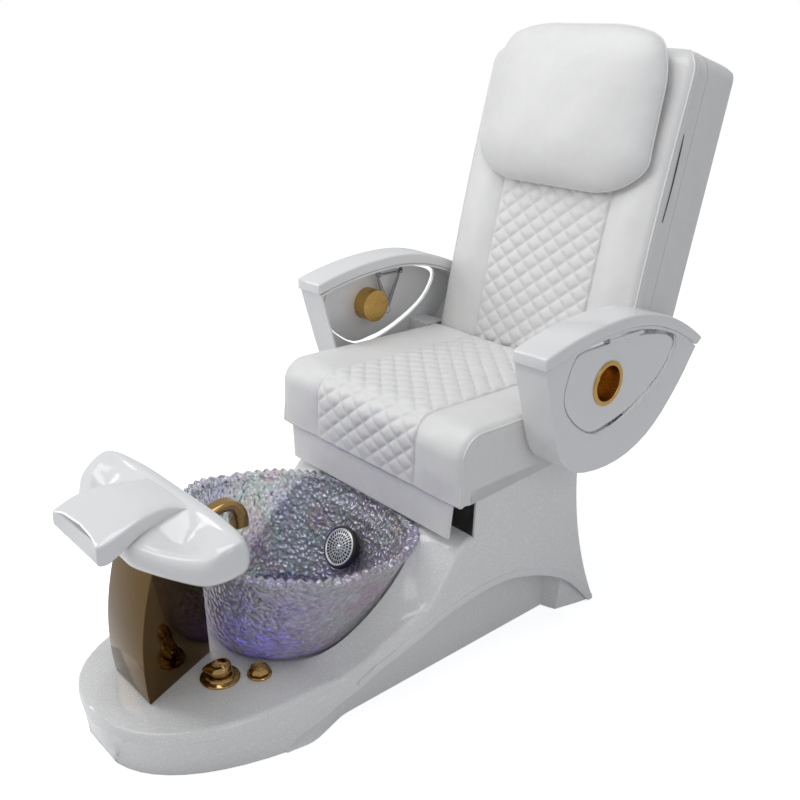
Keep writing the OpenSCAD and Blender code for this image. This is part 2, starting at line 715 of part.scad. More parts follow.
module slide_rails() {
    color(steel) both_sides() translate([frame_x - 9, -25, rail_z]) cube([18, frame_y[2] + 40, rail_h]);
}

module slide_motor() {
    color(dark) {
        translate([-35, frame_y[2] - tube_w / 2 - 90, frame_top - 62]) cube([70, 90, 60]);
        translate([0, 20, frame_top - 20]) rotate([-90, 0, 0]) cylinder(h = frame_y[2] - tube_w / 2 - 109, d = 12);
    }
}

module seat_carriage() {
    color(steel) {
        difference() {
            translate([-carriage_w / 2, -60, plate_z]) cube([carriage_w, hinge_y + 22 + 60, plate_t]);
            translate([-frame_x + 30, 0, plate_z - 1]) cube([2 * frame_x - 60, 300, plate_t + 2]);
        }
        both_sides() difference() {
            translate([frame_x - 15, 20, rail_z + 4]) cube([30, 220, plate_z - rail_z - 4 + eps]);
            translate([frame_x - 9.1, 10, rail_z - 1]) cube([18.2, 260, rail_h + 1.1]);
        }
        both_sides() difference() {
            translate([hinge_x + 1, hinge_y - 22, plate_z]) cube([7, 44, hinge_z - plate_z + 20]);
            translate([hinge_x - 10, hinge_y, hinge_z]) rotate([0, 90, 0]) cylinder(h = 40, d = hinge_pin_d + 2 * fit);
        }
        both_sides() {
            translate([carriage_w / 2 - 1, arm_pivot[0] - 35, plate_z]) cube([bracket_x1 - carriage_w / 2 + 1, 70, plate_t]);
            translate([bracket_x0 + 2, arm_pivot[0] - 35, plate_z]) cube([bracket_x1 - bracket_x0 - 2, 70, arm_pivot[1] - plate_z + 28]);
            translate([bracket_x0 + 2, arm_pivot[0], arm_pivot[1]]) rotate([0, 90, 0]) cylinder(h = arm_x0 + 32 - bracket_x0 - 2, d = arm_pin_d);
        }
    }
}

module seat_pan() {
    color(dark) translate([-262, seat_y0 + 32, pan_z]) cube([524, seat_l - 40, pan_t]);
}

// Columns of a cushion from its left edge to its right edge
quilt_cols = 2 * round(quilt_w / diamond_w);
function cushion_cols(w) = let (q = quilt_w / 2, e = w / 2,
    side = [q + 4, q + 12, q + (e - q) * 0.42, e - 34, e - 16, e - 5, e])
    concat([for (i = [6:-1:0]) -side[i]], [for (i = [0:quilt_cols]) -q + quilt_w * i / quilt_cols], side);
// How far the surface stands out: sewn diamonds, the seams beside them, the side rolls and the rounded edge
function cushion_out(x, i, j, w, r) = let (q = quilt_w / 2, e = w / 2, a = abs(x), k = i - 7)
    a <= q ? ((k + j) % 2 == 0 ? 0 : puff)
    : a < q + 8 ? -2
    : let (b = max(0, a - (e - r)) / r) puff * 1.4 * sin(180 * (a - q) / (e - q)) - r * (1 - sqrt(max(0, 1 - b * b)));

// Padding whose face follows rows of [y, z, out_y, out_z] and whose back follows backs of [y, z].
// Each patch is folded along its sewn diagonal.
module padding(w, r, rows, backs, widths, fade) {
    cols = cushion_cols(w);
    n = len(cols);
    m = n + 2;
    last = len(rows) - 1;
    points = [for (j = [0:last], i = [0:m - 1]) let (p = rows[j], f = widths[j],
        o = (i >= n || j == 0 || j == last) ? 0 : cushion_out(cols[i], i, j, w, r) * fade[j])
        i < n ? [cols[i] * f, p[0] + p[2] * o, p[1] + p[3] * o] : [w / 2 * f * (i == n ? 1 : -1), backs[j][0], backs[j][1]]];
    side = [for (j = [0:last - 1], i = [0:m - 1])
        let (a = j * m + i, b = j * m + (i + 1) % m, c = b + m, d = a + m)
        each (i + j) % 2 == 1 ? [[a, d, c], [a, c, b]] : [[a, d, b], [b, d, c]]];
    ends = [for (i = [0:m - 3]) each [[m - 1, i, i + 1], [last * m + m - 1, last * m + i + 1, last * m + i]]];
    polyhedron(points, concat(side, ends), 4);
}

function seat_path(s) = let (l1 = seat_top - front_roll_r - seat_front_z, l2 = front_roll_r * PI / 2)
    s < l1 ? [seat_y0, seat_front_z + s, -1, 0]
    : s < l1 + l2 ? let (a = (s - l1) / l2 * 90)
        [seat_y0 + front_roll_r * (1 - cos(a)), seat_top - front_roll_r + front_roll_r * sin(a), -cos(a), sin(a)]
    : [seat_y0 + front_roll_r + s - l1 - l2, seat_top, 0, 1];
seat_path_l = seat_top - front_roll_r - seat_front_z + front_roll_r * PI / 2 + seat_l - front_roll_r;
seat_rows = 2 * round(seat_path_l / 44);

module seat_cushion() {
    rows = [for (j = [0:seat_rows]) seat_path(seat_path_l * j / seat_rows)];
    low = len([for (p = rows) if (p[1] < seat_z) 1]);
    backs = [for (j = [0:seat_rows]) j < low ? [seat_y0 + 30, rows[j][1]]
        : [seat_y0 + 30 + (seat_l - 30) * (j - low) / (seat_rows - low), seat_z]];
    color(leather) padding(seat_w, 34, rows, backs, fill(seat_rows + 1, 1),
        [for (j = [0:seat_rows]) 0.35 + 0.65 * smooth((rows[j][0] - seat_y0) / 40)]);
}

module seat_apron() {
    y = seat_y0 + 4;
    z1 = seat_front_z - gap;
    color(leather) translate([0, y + apron_t, 0]) rotate([90, 0, 0]) linear_extrude(apron_t) polygon([
        [-apron_w / 2, z1 - apron_h], [apron_w / 2, z1 - apron_h], [apron_w / 2 + 8, z1], [-apron_w / 2 - 8, z1]]);
}

module recline_motor() {
    color(dark) {
        translate([hinge_x - 92, hinge_y - 24, plate_z + plate_t]) cube([70, 46, hinge_z - plate_z + 8]);
        both_sides() translate([hinge_x - 14, hinge_y, hinge_z]) rotate([0, 90, 0]) cylinder(h = 24, d = hinge_pin_d);
        translate([hinge_x - 24, hinge_y, hinge_z]) rotate([0, 90, 0]) cylinder(h = 12, d = hinge_pin_d);
    }
}

// ---------------------------------------------------------------- back

module on_back() {
    translate([0, back_y, back_z]) rotate([-lean, 0, 0]) children();
}

function back_path(s) = let (l0 = 20 * PI / 2, l1 = back_l - 65, l2 = 45 * PI / 2)
    s < l0 ? let (a = s / l0 * 90) [20 - 20 * sin(a), 20 - 20 * cos(a), -sin(a), -cos(a)]
    : s < l0 + l1 ? let (u = (s - l0) / l1) [-back_crown * sin(180 * u), 20 + s - l0, -1, 0]
    : let (a = (s - l0 - l1) / l2 * 90) [45 - 45 * cos(a), back_l - 45 + 45 * sin(a), -cos(a), sin(a)];
back_path_l = 65 * PI / 2 + back_l - 65;
back_rows = 2 * round(back_path_l / 46);

module back_cushion() {
    rows = [for (j = [0:back_rows]) back_path(back_path_l * j / back_rows)];
    backs = [for (j = [0:back_rows]) [cushion_t - gap, rows[j][1]]];
    color(leather) on_back() padding(back_w, 30, rows, backs,
        [for (j = [0:back_rows]) let (b = max(0, rows[j][1] - back_l + 60) / 60) 1 - 0.19 * (1 - sqrt(max(0, 1 - b * b)))],
        [for (j = [0:back_rows]) min(1, 0.3 + 0.7 * smooth(rows[j][1] / 30)) * (rows[j][1] > back_l - 20 ? 0.3 : 1)]);
}

// Rear case of the back: rounded at its rear corners and at its top
module cover_solid(t) {
    w = back_w / 2 - t;
    y1 = back_t - t;
    r = cover_r - t;
    z1 = back_l - t;
    y0 = cushion_t - (t > 0 ? 20 : 0);
    z0 = t > 0 ? -20 : 0;
    top_r = 60 - t;
    intersection() {
        translate([0, 0, z0]) linear_extrude(z1 - z0) polygon(concat([[w, y0]],
            [for (i = [0:6]) let (a = 15 * i) [w - r + r * cos(a), y1 - r + r * sin(a)]],
            [for (i = [0:6]) let (a = 90 + 15 * i) [-w + r + r * cos(a), y1 - r + r * sin(a)]],
            [[-w, y0]]));
        along_x(-400, 800) polygon(concat([[y0 - 10, z0 - 10], [y1, z0 - 10]],
            [for (i = [0:6]) let (a = 15 * i) [y1 - r + r * cos(a), z1 - r + r * sin(a)]], [[y0 - 10, z1]]));
        translate([0, 300, 0]) rotate([90, 0, 0]) linear_extrude(400) polygon(concat([[-w, z0 - 10], [w, z0 - 10]],
            [for (i = [0:6]) let (a = 15 * i) [w - top_r + top_r * cos(a), z1 - top_r + top_r * sin(a)]],
            [for (i = [0:6]) let (a = 90 + 15 * i) [-w + top_r + top_r * cos(a), z1 - top_r + top_r * sin(a)]]));
    }
}

module back_cover() {
    color(leather) on_back() difference() {
        cover_solid(0);
        cover_solid(shell_t);
    }
}

frame_in = cushion_t;
module back_frame() {
    color(dark) on_back() {
        both_sides() {
            translate([200, frame_in, 12]) cube([25, 25, back_l - 60]);
            difference() {
                union() {
                    translate([hinge_x - 8, hinge_in - 22, hinge_low - 20]) cube([7, 44, 50]);
                    translate([hinge_x - 8, frame_in + 3, -10]) cube([7, 22, 60]);
                }
                translate([hinge_x - 20, hinge_in, hinge_low]) rotate([0, 90, 0]) cylinder(h = 40, d = hinge_pin_d + 2 * fit);
            }
        }
        for (z = [14, back_l - 74]) translate([-200, frame_in, z]) cube([400, 25, 25]);
        for (z = [14, back_l - 74], s = [-1, 1])
            translate([s * rail_x - 10, frame_in + 24, z]) cube([20, rail_in - frame_in - 14, 25]);
    }
}

module massage_rails() {
    color(steel) on_back() both_sides() translate([rail_x, rail_in, 39 + gap]) cylinder(h = back_l - 74 - 39 - 2 * gap, d = rail_d);
}

module massage_carriage() {
    color(dark) on_back() {
        difference() {
            translate([-rail_x - 16, rail_in - 14, carriage_z0]) cube([2 * rail_x + 32, 28, 90]);
            both_sides() translate([rail_x, rail_in, carriage_z0 - 1]) cylinder(h = 92, d = rail_d + 2 * fit);
        }
        translate([0, rail_in + 13, carriage_z0 + 45]) rotate([-90, 0, 0]) cylinder(h = 34, d = 60);
        translate([-76, roller_in, carriage_z0 + 45]) rotate([0, 90, 0]) cylinder(h = 152, d = 10);
        both_sides() translate([69, roller_in - 8, carriage_z0 + 37]) cube([7, rail_in - 13 - roller_in + 8, 16]);
    }
}

module massage_rollers() {
    color(steel) on_back() both_sides() translate([26, roller_in, carriage_z0 + 45]) rotate([0, 90, 0]) difference() {
        cylinder(h = 34, d = roller_d);
        translate([0, 0, -1]) cylinder(h = 36, d = 10 + 2 * fit);
    }
}

module head_pillow() {
    levels = [[0, 0.86], [0.16, 0.96], [0.38, 1], [0.62, 0.97], [0.82, 0.87], [0.94, 0.66], [1, 0.34]];
    color(leather) on_back() loft([for (l = levels) [for (p = super_ring(pillow_w / 2, pillow_h / 2, 4, 44))
        let (u = p[1] / (pillow_h / 2), w = 1 - 0.07 * pow(max(0, u), 3) - 0.1 * pow(max(0, -u), 3))
        [p[0] * w * l[1], pillow_y - pillow_t * l[0], pillow_mid + p[1] * l[1]]]]);
}

module pillow_straps() {
    z = back_l + gap;
    y0 = pillow_y + gap;
    color(leather) on_back() for (s = [-1, 1]) along_x(s * 110 - 20, 40) polygon([
        [y0, back_l - 60], [y0 + 2, back_l - 60], [y0 + 2, back_l - 22], [18, z], [back_t - 12, z], [back_t + gap, back_l - 12],
        [back_t + gap, back_l - 120], [back_t + 2 + gap, back_l - 120], [back_t + 2 + gap, back_l - 10],
        [back_t - 11, z + 2], [17, z + 2], [y0, back_l - 20]]);
}

// ---------------------------------------------------------------- armrests

function arm_top_z(y) = arm_top - (y < arm_peak_y ? 0.00058 : 0.00113) * pow(y - arm_peak_y, 2);
arm_low = [[541, 675], [520, 644], [493, 605], [437, 542], [380, 498], [310, 470], [235, 461], [160, 468], [112, 486],
    [74, 520], [50, 575], [32, 632], [14, 688], [3, arm_top_z(0) - cap_h - 1]];
// Armrest below its cap, drawn in by d
arm_top_ys = [for (i = [0:14]) arm_y0 + 3 + 538 * i / 14];
function arm_outline(d) = let (low = curve(arm_low, 2), n = len(low) - 1)
    inset(concat([for (i = [n:-1:0]) low[i]],
        [for (i = [13:-1:1]) [arm_top_ys[i], arm_top_z(arm_top_ys[i]) - cap_h]]), d);
tray_points = [[86, 640], [82, 680], [105, 732], [145, 743], [210, 747], [298, 745], [390, 732], [434, 714], [438, 692],
    [410, 649], [356, 612], [281, 579], [219, 565], [173, 570], [122, 600]];
function ccw(p) = [for (i = [len(p) - 1:-1:0]) p[i]];
tray_outline = ccw(spline(tray_points, 3));
arm_window = [for (p = inset(tray_outline, -window_gap)) [p[0], min(p[1], arm_top_z(p[0]) - cap_h - window_top)]];

module arm_shell() {
    color(white) difference() {
        along_x(arm_x0, arm_w) polygon(arm_outline(0));
        along_x(arm_x0 - 1, arm_w - 7) difference() {
            polygon(arm_outline(arm_wall));
            translate([arm_pivot[0] - arm_boss / 2, arm_pivot[1] - arm_boss / 2]) square(arm_boss);
        }
        along_x(arm_x1 - 9, 20) polygon(arm_window);
        translate([arm_x0 - 1, arm_pivot[0], arm_pivot[1]]) rotate([0, 90, 0]) cylinder(h = 36, d = arm_pin_d + 2 * fit);
    }
}

module arm_cap() {
    ys = concat([arm_y0 - 4], arm_top_ys);
    n = 18;
    color(white) along_x(arm_x0 - 2, arm_w + 6) polygon(concat(
        [for (y = ys) [y, arm_top_z(y) - cap_h + gap]], [[arm_y1 - 4, arm_top_z(arm_y1) - 5]],
        [for (i = [n:-1:0]) let (y = arm_y0 - 4 + (arm_y1 + 4 - arm_y0) * i / n) [y, arm_top_z(y)]]));
}

module tray_hinge() {
    y0 = hinge_span[0];
    y1 = hinge_span[1];
    top = hinge_plate_z;
    color(steel) {
        translate([stay_axis[0] - 12, y0, top - 3]) cube([arm_x1 - 9 - stay_axis[0] + 12, y1 - y0, 3]);
        for (y = [y0, y1 - 4]) translate([0, y + 4, 0]) rotate([90, 0, 0]) linear_extrude(4)
            polygon([[tray_axis[0] - 12, tray_axis[1] - 3], [tray_axis[0], tray_axis[1] - 3], [tray_axis[0], top - 2.5],
                [tray_axis[0] - 12, top - 2.5]]);
        for (y = [y0, y1 - 4]) translate([tray_axis[0], y, tray_axis[1]]) rotate([-90, 0, 0]) cylinder(h = 4, d = 8);
        translate([tray_axis[0], y0, tray_axis[1]]) rotate([-90, 0, 0]) cylinder(h = y1 - y0, d = 5);
        for (y = [stay_span[0] - 3, stay_span[1]]) {
            translate([stay_axis[0], y, stay_axis[1]]) rotate([-90, 0, 0]) cylinder(h = 3, d = 12);
            translate([stay_axis[0] - 6, y, stay_axis[1]]) cube([12, 3, top - stay_axis[1] - 1]);
        }
        translate([stay_axis[0], stay_span[0] - 3, stay_axis[1]]) rotate([-90, 0, 0])
            cylinder(h = stay_span[1] - stay_span[0] + 6, d = 5);
    }
}

module tray() {
    y0 = hinge_span[0] + 4 + gap;
    y1 = hinge_span[1] - 4 - gap;
    color(white) difference() {
        union() {
            along_x(arm_x1 - tray_t, tray_t) polygon(tray_outline);
            translate([tray_axis[0], y0, tray_axis[1]]) rotate([-90, 0, 0]) cylinder(h = y1 - y0, d = 9);
            translate([arm_x1 - 8, y0 + 8, tray_axis[1] - 14]) cube([8, y1 - y0 - 16, 14]);
        }
        translate([tray_axis[0], y0 - 5, tray_axis[1]]) rotate([-90, 0, 0]) cylinder(h = y1 - y0 + 10, d = 5 + 2 * fit);
        translate([arm_x1 - tray_t - 1, cup_at[0], cup_at[1]]) rotate([0, 90, 0]) cylinder(h = tray_t + 2, d = cup_d + gap);
    }
}

module cup() {
    color(gold) translate([arm_x1, cup_at[0], cup_at[1]]) rotate([0, 90, 0]) difference() {
        union() {
            translate([0, 0, -cup_depth]) cylinder(h = cup_depth + 1, d = cup_d, $fn = 72);
            cylinder(h = 3, d = cup_d + 14, $fn = 72);
        }
        translate([0, 0, 3 - cup_depth]) cylinder(h = cup_depth + 1, d = cup_d - 6, $fn = 72);
    }
}

// Folding stay: two legs on a pivot that meet at a foot with a pull ring
module tray_stay() {
    z = stay_axis[1];
    x = stay_axis[0];
    y0 = stay_span[0] + gap;
    y1 = stay_span[1] - gap;
    foot = [(y0 + y1) / 2, z - 92];
    color(steel) {
        difference() {
            union() {
                for (y = [y0, y1 - 6]) translate([x, y, z]) rotate([-90, 0, 0]) cylinder(h = 6, d = 12);
                along_x(x + 2, 3) polygon([[y0, z], [y0, z - 12], [foot[0] - 6, foot[1]], [foot[0] + 6, foot[1]],
                    [y1, z - 12], [y1, z], [y1 - 7, z], [y1 - 7, z - 10], [foot[0], foot[1] + 18], [y0 + 7, z - 10], [y0 + 7, z]]);
            }
            translate([x, y0 - 1, z]) rotate([-90, 0, 0]) cylinder(h = y1 - y0 + 2, d = 5 + 2 * fit);
        }
        translate([x + 3.5, foot[0], foot[1] - 8.5]) rotate([0, 90, 0]) rotate_extrude() translate([9, 0]) circle(d = 1.6, $fn = 16);
    }
}

placed() base_shell();
placed() base_skirt();
placed() base_frame();
placed() levelling_feet();
placed() rear_access_panel();
placed() access_screws();
placed() glass_bowl();
placed() bowl_gasket();
placed() led_lamp();
placed() drain_flange();
placed() drain_tail();
placed() drain_stopper();
placed() jet_housing();
placed() jet_grille();
placed() jet_impeller();
placed() jet_motor();
placed() footrest_post();
placed() footrest_bracket();
placed() footrest_block();
placed() footrest_pads();
placed() footrest_band();
placed() mixer_escutcheon();
placed() mixer_knob();
placed() drain_knob_base();
placed() drain_knob();
placed() spout_column();
placed() spout();
placed() control_box();
placed() slide_rails();
placed() slide_motor();
placed() seat_carriage();
placed() seat_pan();
placed() seat_cushion();
placed() seat_apron();
placed() recline_motor();
placed() back_frame();
placed() back_cover();
placed() back_cushion();
placed() head_pillow();
placed() pillow_straps();
placed() massage_rails();
placed() massage_carriage();
placed() massage_rollers();
placed() arm_shell();  // arm_shell_left
placed() arm_cap();  // arm_cap_left
placed() tray_hinge();  // tray_hinge_left
placed() tray();  // tray_left
placed() cup();  // cup_left
placed() tray_stay();  // tray_stay_left
placed() mirror([1, 0, 0]) arm_shell();  // arm_shell_right
placed() mirror([1, 0, 0]) arm_cap();  // arm_cap_right
placed() mirror([1, 0, 0]) tray_hinge();  // tray_hinge_right
placed() mirror([1, 0, 0]) tray();  // tray_right
placed() mirror([1, 0, 0]) cup();  // cup_right
placed() mirror([1, 0, 0]) tray_stay();  // tray_stay_right
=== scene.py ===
import math
import bmesh
import bpy
from mathutils import Matrix, Vector


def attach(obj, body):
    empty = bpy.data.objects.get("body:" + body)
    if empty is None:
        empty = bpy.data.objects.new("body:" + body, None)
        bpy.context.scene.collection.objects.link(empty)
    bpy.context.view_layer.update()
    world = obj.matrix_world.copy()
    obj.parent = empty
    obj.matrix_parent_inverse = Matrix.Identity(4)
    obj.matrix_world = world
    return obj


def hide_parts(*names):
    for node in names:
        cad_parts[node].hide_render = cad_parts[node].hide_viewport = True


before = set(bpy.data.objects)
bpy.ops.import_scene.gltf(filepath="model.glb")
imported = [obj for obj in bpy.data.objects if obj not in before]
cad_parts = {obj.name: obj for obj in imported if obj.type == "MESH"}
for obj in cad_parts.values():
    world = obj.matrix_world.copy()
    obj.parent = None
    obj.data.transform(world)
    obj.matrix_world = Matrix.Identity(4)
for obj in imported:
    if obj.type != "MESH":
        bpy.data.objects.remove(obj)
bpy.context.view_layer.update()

# ---------------------------------------------------------------- studio
# A flat pale floor in a white surround, three soft lamps, and the camera that looks down on the
# chair's front from its left side.
MID = 21.0                     # the part's own drawings are 21 mm ahead of the chair's middle
bpy.context.scene.view_settings.view_transform = "Standard"

def placed(name, data):
    obj = bpy.data.objects.new(name, data)
    bpy.context.collection.objects.link(obj)
    return obj

def turned_by(degrees, axis):
    return Matrix.Rotation(math.radians(degrees), 4, axis)

eye, turn, tilt, roll = (1.4559, -1.3587 + 0.001 * MID, 1.3268), 47.2721, 21.2779, 1.6620
camera = placed("camera", bpy.data.cameras.new("camera"))
camera.data.lens = 42.487
camera.data.clip_start = 0.05
camera.matrix_world = (Matrix.Translation(eye) @ turned_by(turn, "Z") @ turned_by(90 - tilt, "X")
    @ turned_by(roll, "Z"))
bpy.context.scene.camera = camera

def lamp(name, place, aim, size, power):
    obj = placed(name, bpy.data.lights.new(name, "AREA"))
    obj.data.shape = "RECTANGLE"
    obj.data.size, obj.data.size_y = size
    obj.data.energy = power
    obj.location = place
    obj.rotation_mode = "QUATERNION"
    obj.rotation_quaternion = (Vector(aim) - Vector(place)).to_track_quat("-Z", "Y")

lamp("ceiling_lamp", (-0.6, -0.9, 3.4), (0, -0.1, 0.5), (2.4, 2.4), 44)
lamp("left_lamp", (-3.0, -2.4, 2.2), (0, 0, 0.6), (1.4, 2.4), 38)
lamp("right_lamp", (3.2, -0.6, 2.2), (0, 0, 0.5), (1.2, 2.0), 10)

def node_tree(owner):
    owner.use_nodes = True
    owner.node_tree.nodes.clear()
    return owner.node_tree.nodes

def feed(socket, value):
    """Wires a socket to another one, or sets it to a plain value."""
    if isinstance(value, bpy.types.NodeSocket):
        socket.id_data.links.new(value, socket)
    else:
        socket.default_value = value

def add(nodes, kind, *feeds, **values):
    """New node, its sockets fed in order or by name and its settings set by name."""
    node = nodes.new(kind)
    for key in [k for k in values if hasattr(node, k)]:
        setattr(node, key, values.pop(key))
    for socket, value in zip(node.inputs, feeds):
        feed(socket, value)
    for key, value in values.items():
        feed(node.inputs[key.replace("_", " ")], value)
    return node

def maths(nodes, operation, *feeds):
    return add(nodes, "ShaderNodeMath", *feeds, operation=operation).outputs[0]

def seen_or_mirrored(nodes, glossy):
    """1 where the camera sees a surface itself or through glass, and less than 1 in a gloss."""
    path = add(nodes, "ShaderNodeLightPath").outputs
    share = maths(nodes, "MULTIPLY", path["Is Glossy Ray"], glossy)
    through_glass = maths(nodes, "MAXIMUM", share, path["Is Transmission Ray"])
    return maths(nodes, "MAXIMUM", through_glass, path["Is Camera Ray"])

world = bpy.data.worlds.new("studio_air")
bpy.context.scene.world = world
nodes = node_tree(world)
air = add(nodes, "ShaderNodeBackground", Color=(0.80, 0.82, 0.86, 1), Strength=0.46)
white_air = add(nodes, "ShaderNodeBackground", Color=(1, 1, 1, 1), Strength=1.0)
mix = add(nodes, "ShaderNodeMixShader", seen_or_mirrored(nodes, 0.4), air.outputs[0], white_air.outputs[0])
add(nodes, "ShaderNodeOutputWorld", mix.outputs[0])

floor_paint = bpy.data.materials.new("floor_paint")
nodes = node_tree(floor_paint)
coat = add(nodes, "ShaderNodeBsdfDiffuse", Color=(0.80, 0.80, 0.81, 1))
glow = add(nodes, "ShaderNodeEmission", Color=(1, 1, 1, 1), Strength=0.72)
dim = add(nodes, "ShaderNodeEmission", Color=(1, 1, 1, 1), Strength=0.0)
pick = add(nodes, "ShaderNodeMixShader", seen_or_mirrored(nodes, 0.3), dim.outputs[0], glow.outputs[0])
both = add(nodes, "ShaderNodeAddShader", coat.outputs[0], pick.outputs[0])
add(nodes, "ShaderNodeOutputMaterial", both.outputs[0])

def linked(bm, name):
    mesh = bpy.data.meshes.new(name)
    bm.to_mesh(mesh)
    bm.free()
    return placed(name, mesh)

bm = bmesh.new()
bmesh.ops.create_grid(bm, x_segments=1, y_segments=1, size=9)
floor = linked(bm, "floor")
floor.location = (0, 0, -0.0005)
floor.data.materials.append(floor_paint)

# ---------------------------------------------------------------- base moulding
# One glass-fibre moulding in gloss white gel coat with a fine fleck: a flat deck with a rolled
# edge, a ramp up to the ledge behind the bowl, and the open pedestal that carries the seat.
deck_w, deck_round, deck_y, deck_h, deck_power = 470, 366, -426, 118, 2.39
sole_w, sole_y, sole_end, sole_power = 520, -212, -447, 2.265
sole_l = deck_round - deck_y - 18 + sole_y
pedestal_w, pedestal_h, pedestal_y0, pedestal_y1, foot_spread = 568, 455, -52, 285, 125
lip_z, ledge_h, arch_h, wall = 92, 343, 210, 5

def smooth(t):
    """0 below 0, 1 above 1, and an easy S between."""
    t = max(0.0, min(1.0, t))
    return t * t * (3 - 2 * t)

def through(points, steps):
    """Curve that passes through given points."""
    last = len(points) - 1
    line = []
    for i in range(last):
        a, b, c, d = points[max(0, i - 1)], points[i], points[i + 1], points[min(last, i + 2)]
        for k in range(steps):
            t = k / steps
            line.append(tuple(0.5 * (2 * q + (r - p) * t + (2 * p - 5 * q + 4 * r - s) * t * t
                + (3 * q - p - 3 * r + s) * t ** 3) for p, q, r, s in zip(a, b, c, d)))
    return line + [tuple(points[-1])]

def height_on(line, y):
    """Second value of a line of points at y, straight between the points and level past its ends."""
    if y <= line[0][0]:
        return line[0][1]
    for (y0, z0), (y1, z1) in zip(line, line[1:]):
        if y <= y1:
            return z0 + (z1 - z0) * (y - y0) / (y1 - y0)
    return line[-1][1]

arch_line = through([(-500, -2), (-475, 0.25 * arch_h), (-413, 0.37 * arch_h), (-338, 0.52 * arch_h),
    (-280, 0.73 * arch_h), (-212, 0.9 * arch_h), (-130, 0.98 * arch_h), (0, arch_h), (100, 0.9 * arch_h),
    (240, 0.6 * arch_h), (pedestal_y1 + foot_spread - 15, -2)], 8)

def bowed(half, reach, power):
    """Half width of a rounded end at a share, 0 to 1, of its reach."""
    reach = max(0.0, min(1.0, reach))
    return half * (1 - reach ** power) ** (1 / power)

def deck_half(y, t=0):
    """Half width of the deck, t inside its skin, and of the pedestal that it widens to."""
    if y <= deck_y:
        return bowed(deck_w / 2 - t, (deck_y - y) / (deck_round - t), deck_power)
    return deck_w / 2 - t + (pedestal_w - deck_w) / 2 * smooth((y - deck_y) / 236)

def sole_half(y, t=0):
    """Half width where the moulding meets the floor."""
    sole = bowed(sole_w / 2 - t, (sole_y - min(y, sole_end)) / (sole_l - t), sole_power)
    return sole if y <= sole_end else max(sole, deck_half(y, t))

def edge_z(y):
    """Height of the side edge, over the arch and then up to the ledge."""
    side = max(deck_h - 4, height_on(arch_line, y) + 20)
    return side + (ledge_h - side) * smooth((y + 190) / 130)

def top_z(x, y):
    """Height of the upper face, which ramps up to the ledge along its middle."""
    crown = deck_h + (ledge_h - deck_h) * smooth((y - deck_y) / (pedestal_y0 - 26 - deck_y))
    t = smooth((deck_half(y) - 6 - abs(x)) / 90)
    return edge_z(y) + (crown - edge_z(y)) * t

def half_section(y, t, high):
    """Right half of the moulding across the chair at y, from its foot to its middle line."""
    w = deck_half(y, t)
    toe = sole_y - sole_l + t
    low = lip_z * (toe - y) / 18 if y < toe else (-1 if t else 0)
    foot = 0.6 * w if y < toe else sole_half(y, t)
    e = (pedestal_h + (10 if t else 0)) if high else edge_z(y) - t
    r = min(11.0 - t, w)
    points = [(foot, low), (foot + (w - foot) * 0.35, low + (lip_z - low) * 0.5),
        (foot + (w - foot) * 0.75, lip_z - 6), (w - 0.6, lip_z - 1), (w, lip_z + 4)]
    points += [(w, lip_z + 4 + (e - r - lip_z - 4) * k / 7) for k in range(1, 7)]
    points += [(w - r + r * math.cos(a), e - r + r * math.sin(a)) for a in (math.pi / 14 * k for k in range(8))]
    for k in range(1, 23):
        f = 1 - k / 22
        x = (w - r) * f
        shelf = top_z(x, y) - t - (top_z(w - r, y) - t - e) * smooth(1 - (w - r - x) / 30)
        points.append((x, e if high else shelf))
    return points

def skin(bm, across, along, shape):
    """Grid of points that a rule bends to shape; its closed edges are welded."""
    made = bmesh.ops.create_grid(bm, x_segments=across, y_segments=along, size=0.5)
    for v in made["verts"]:
        v.co = shape(round((v.co.x + 0.5) * across), round((v.co.y + 0.5) * along))
    bmesh.ops.remove_doubles(bm, verts=made["verts"], dist=0.01)
    return made["verts"]

def close_ends(bm):
    bmesh.ops.holes_fill(bm, edges=[e for e in bm.edges if e.is_boundary], sides=0)

def formed(across, along, *shapes):
    """New mesh with one grid for each rule and its open ends closed."""
    bm = bmesh.new()
    for shape in shapes:
        skin(bm, across, along, shape)
    close_ends(bm)
    return bm

def into_place(verts):
    for v in verts:
        v.co = Vector((v.co.x, v.co.y + MID, v.co.z)) * 0.001

def loose_object(bm, name):
    bmesh.ops.recalc_face_normals(bm, faces=bm.faces)
    return linked(bm, name)

def fitted(obj, body, mat, angle, slot, *nodes, fill=None):
    """Gives a piece its finish, says which body it rides, and hides the CAD nodes it stands for."""
    obj.data.materials.clear()
    obj.data.materials.append(mat)
    obj.data.polygons.foreach_set("use_smooth", [True] * len(obj.data.polygons))
    obj.data.set_sharp_from_angle(angle=math.radians(angle))
    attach(obj, body)
    if nodes:
        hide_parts(*nodes)
    return obj

def finished(bm, name, body, mat, angle, slot, *nodes, fill=None):
    """Mesh in millimetres made into a finished piece."""
    into_place(bm.verts)
    return fitted(loose_object(bm, name), body, mat, angle, slot, *nodes, fill=fill)

def stations(t):
    """Places of the sections along the chair, and whether each is a tall one of the pedestal."""
    front = [deck_y - (deck_round - t) * math.cos(math.radians(a)) ** (2 / deck_power)
        for a in (0, 1, 2, 3.5, 5, 7, 9, 12, 15, 18, 22, 26, 31, 36, 42, 48, 55, 62, 69, 76, 83)]
    middle = [deck_y + k * (pedestal_y0 - 20 - deck_y) / 44 for k in range(45)]
    step = -1.5 if t else 0
    span = pedestal_y1 + foot_spread + 2 + 3 * t - pedestal_y0
    rear = [pedestal_y0 + step + k * span / 24 for k in range(25)]
    return ([(y, False) for y in front + middle + [pedestal_y0 + step - 1]], [(y, True) for y in rear])

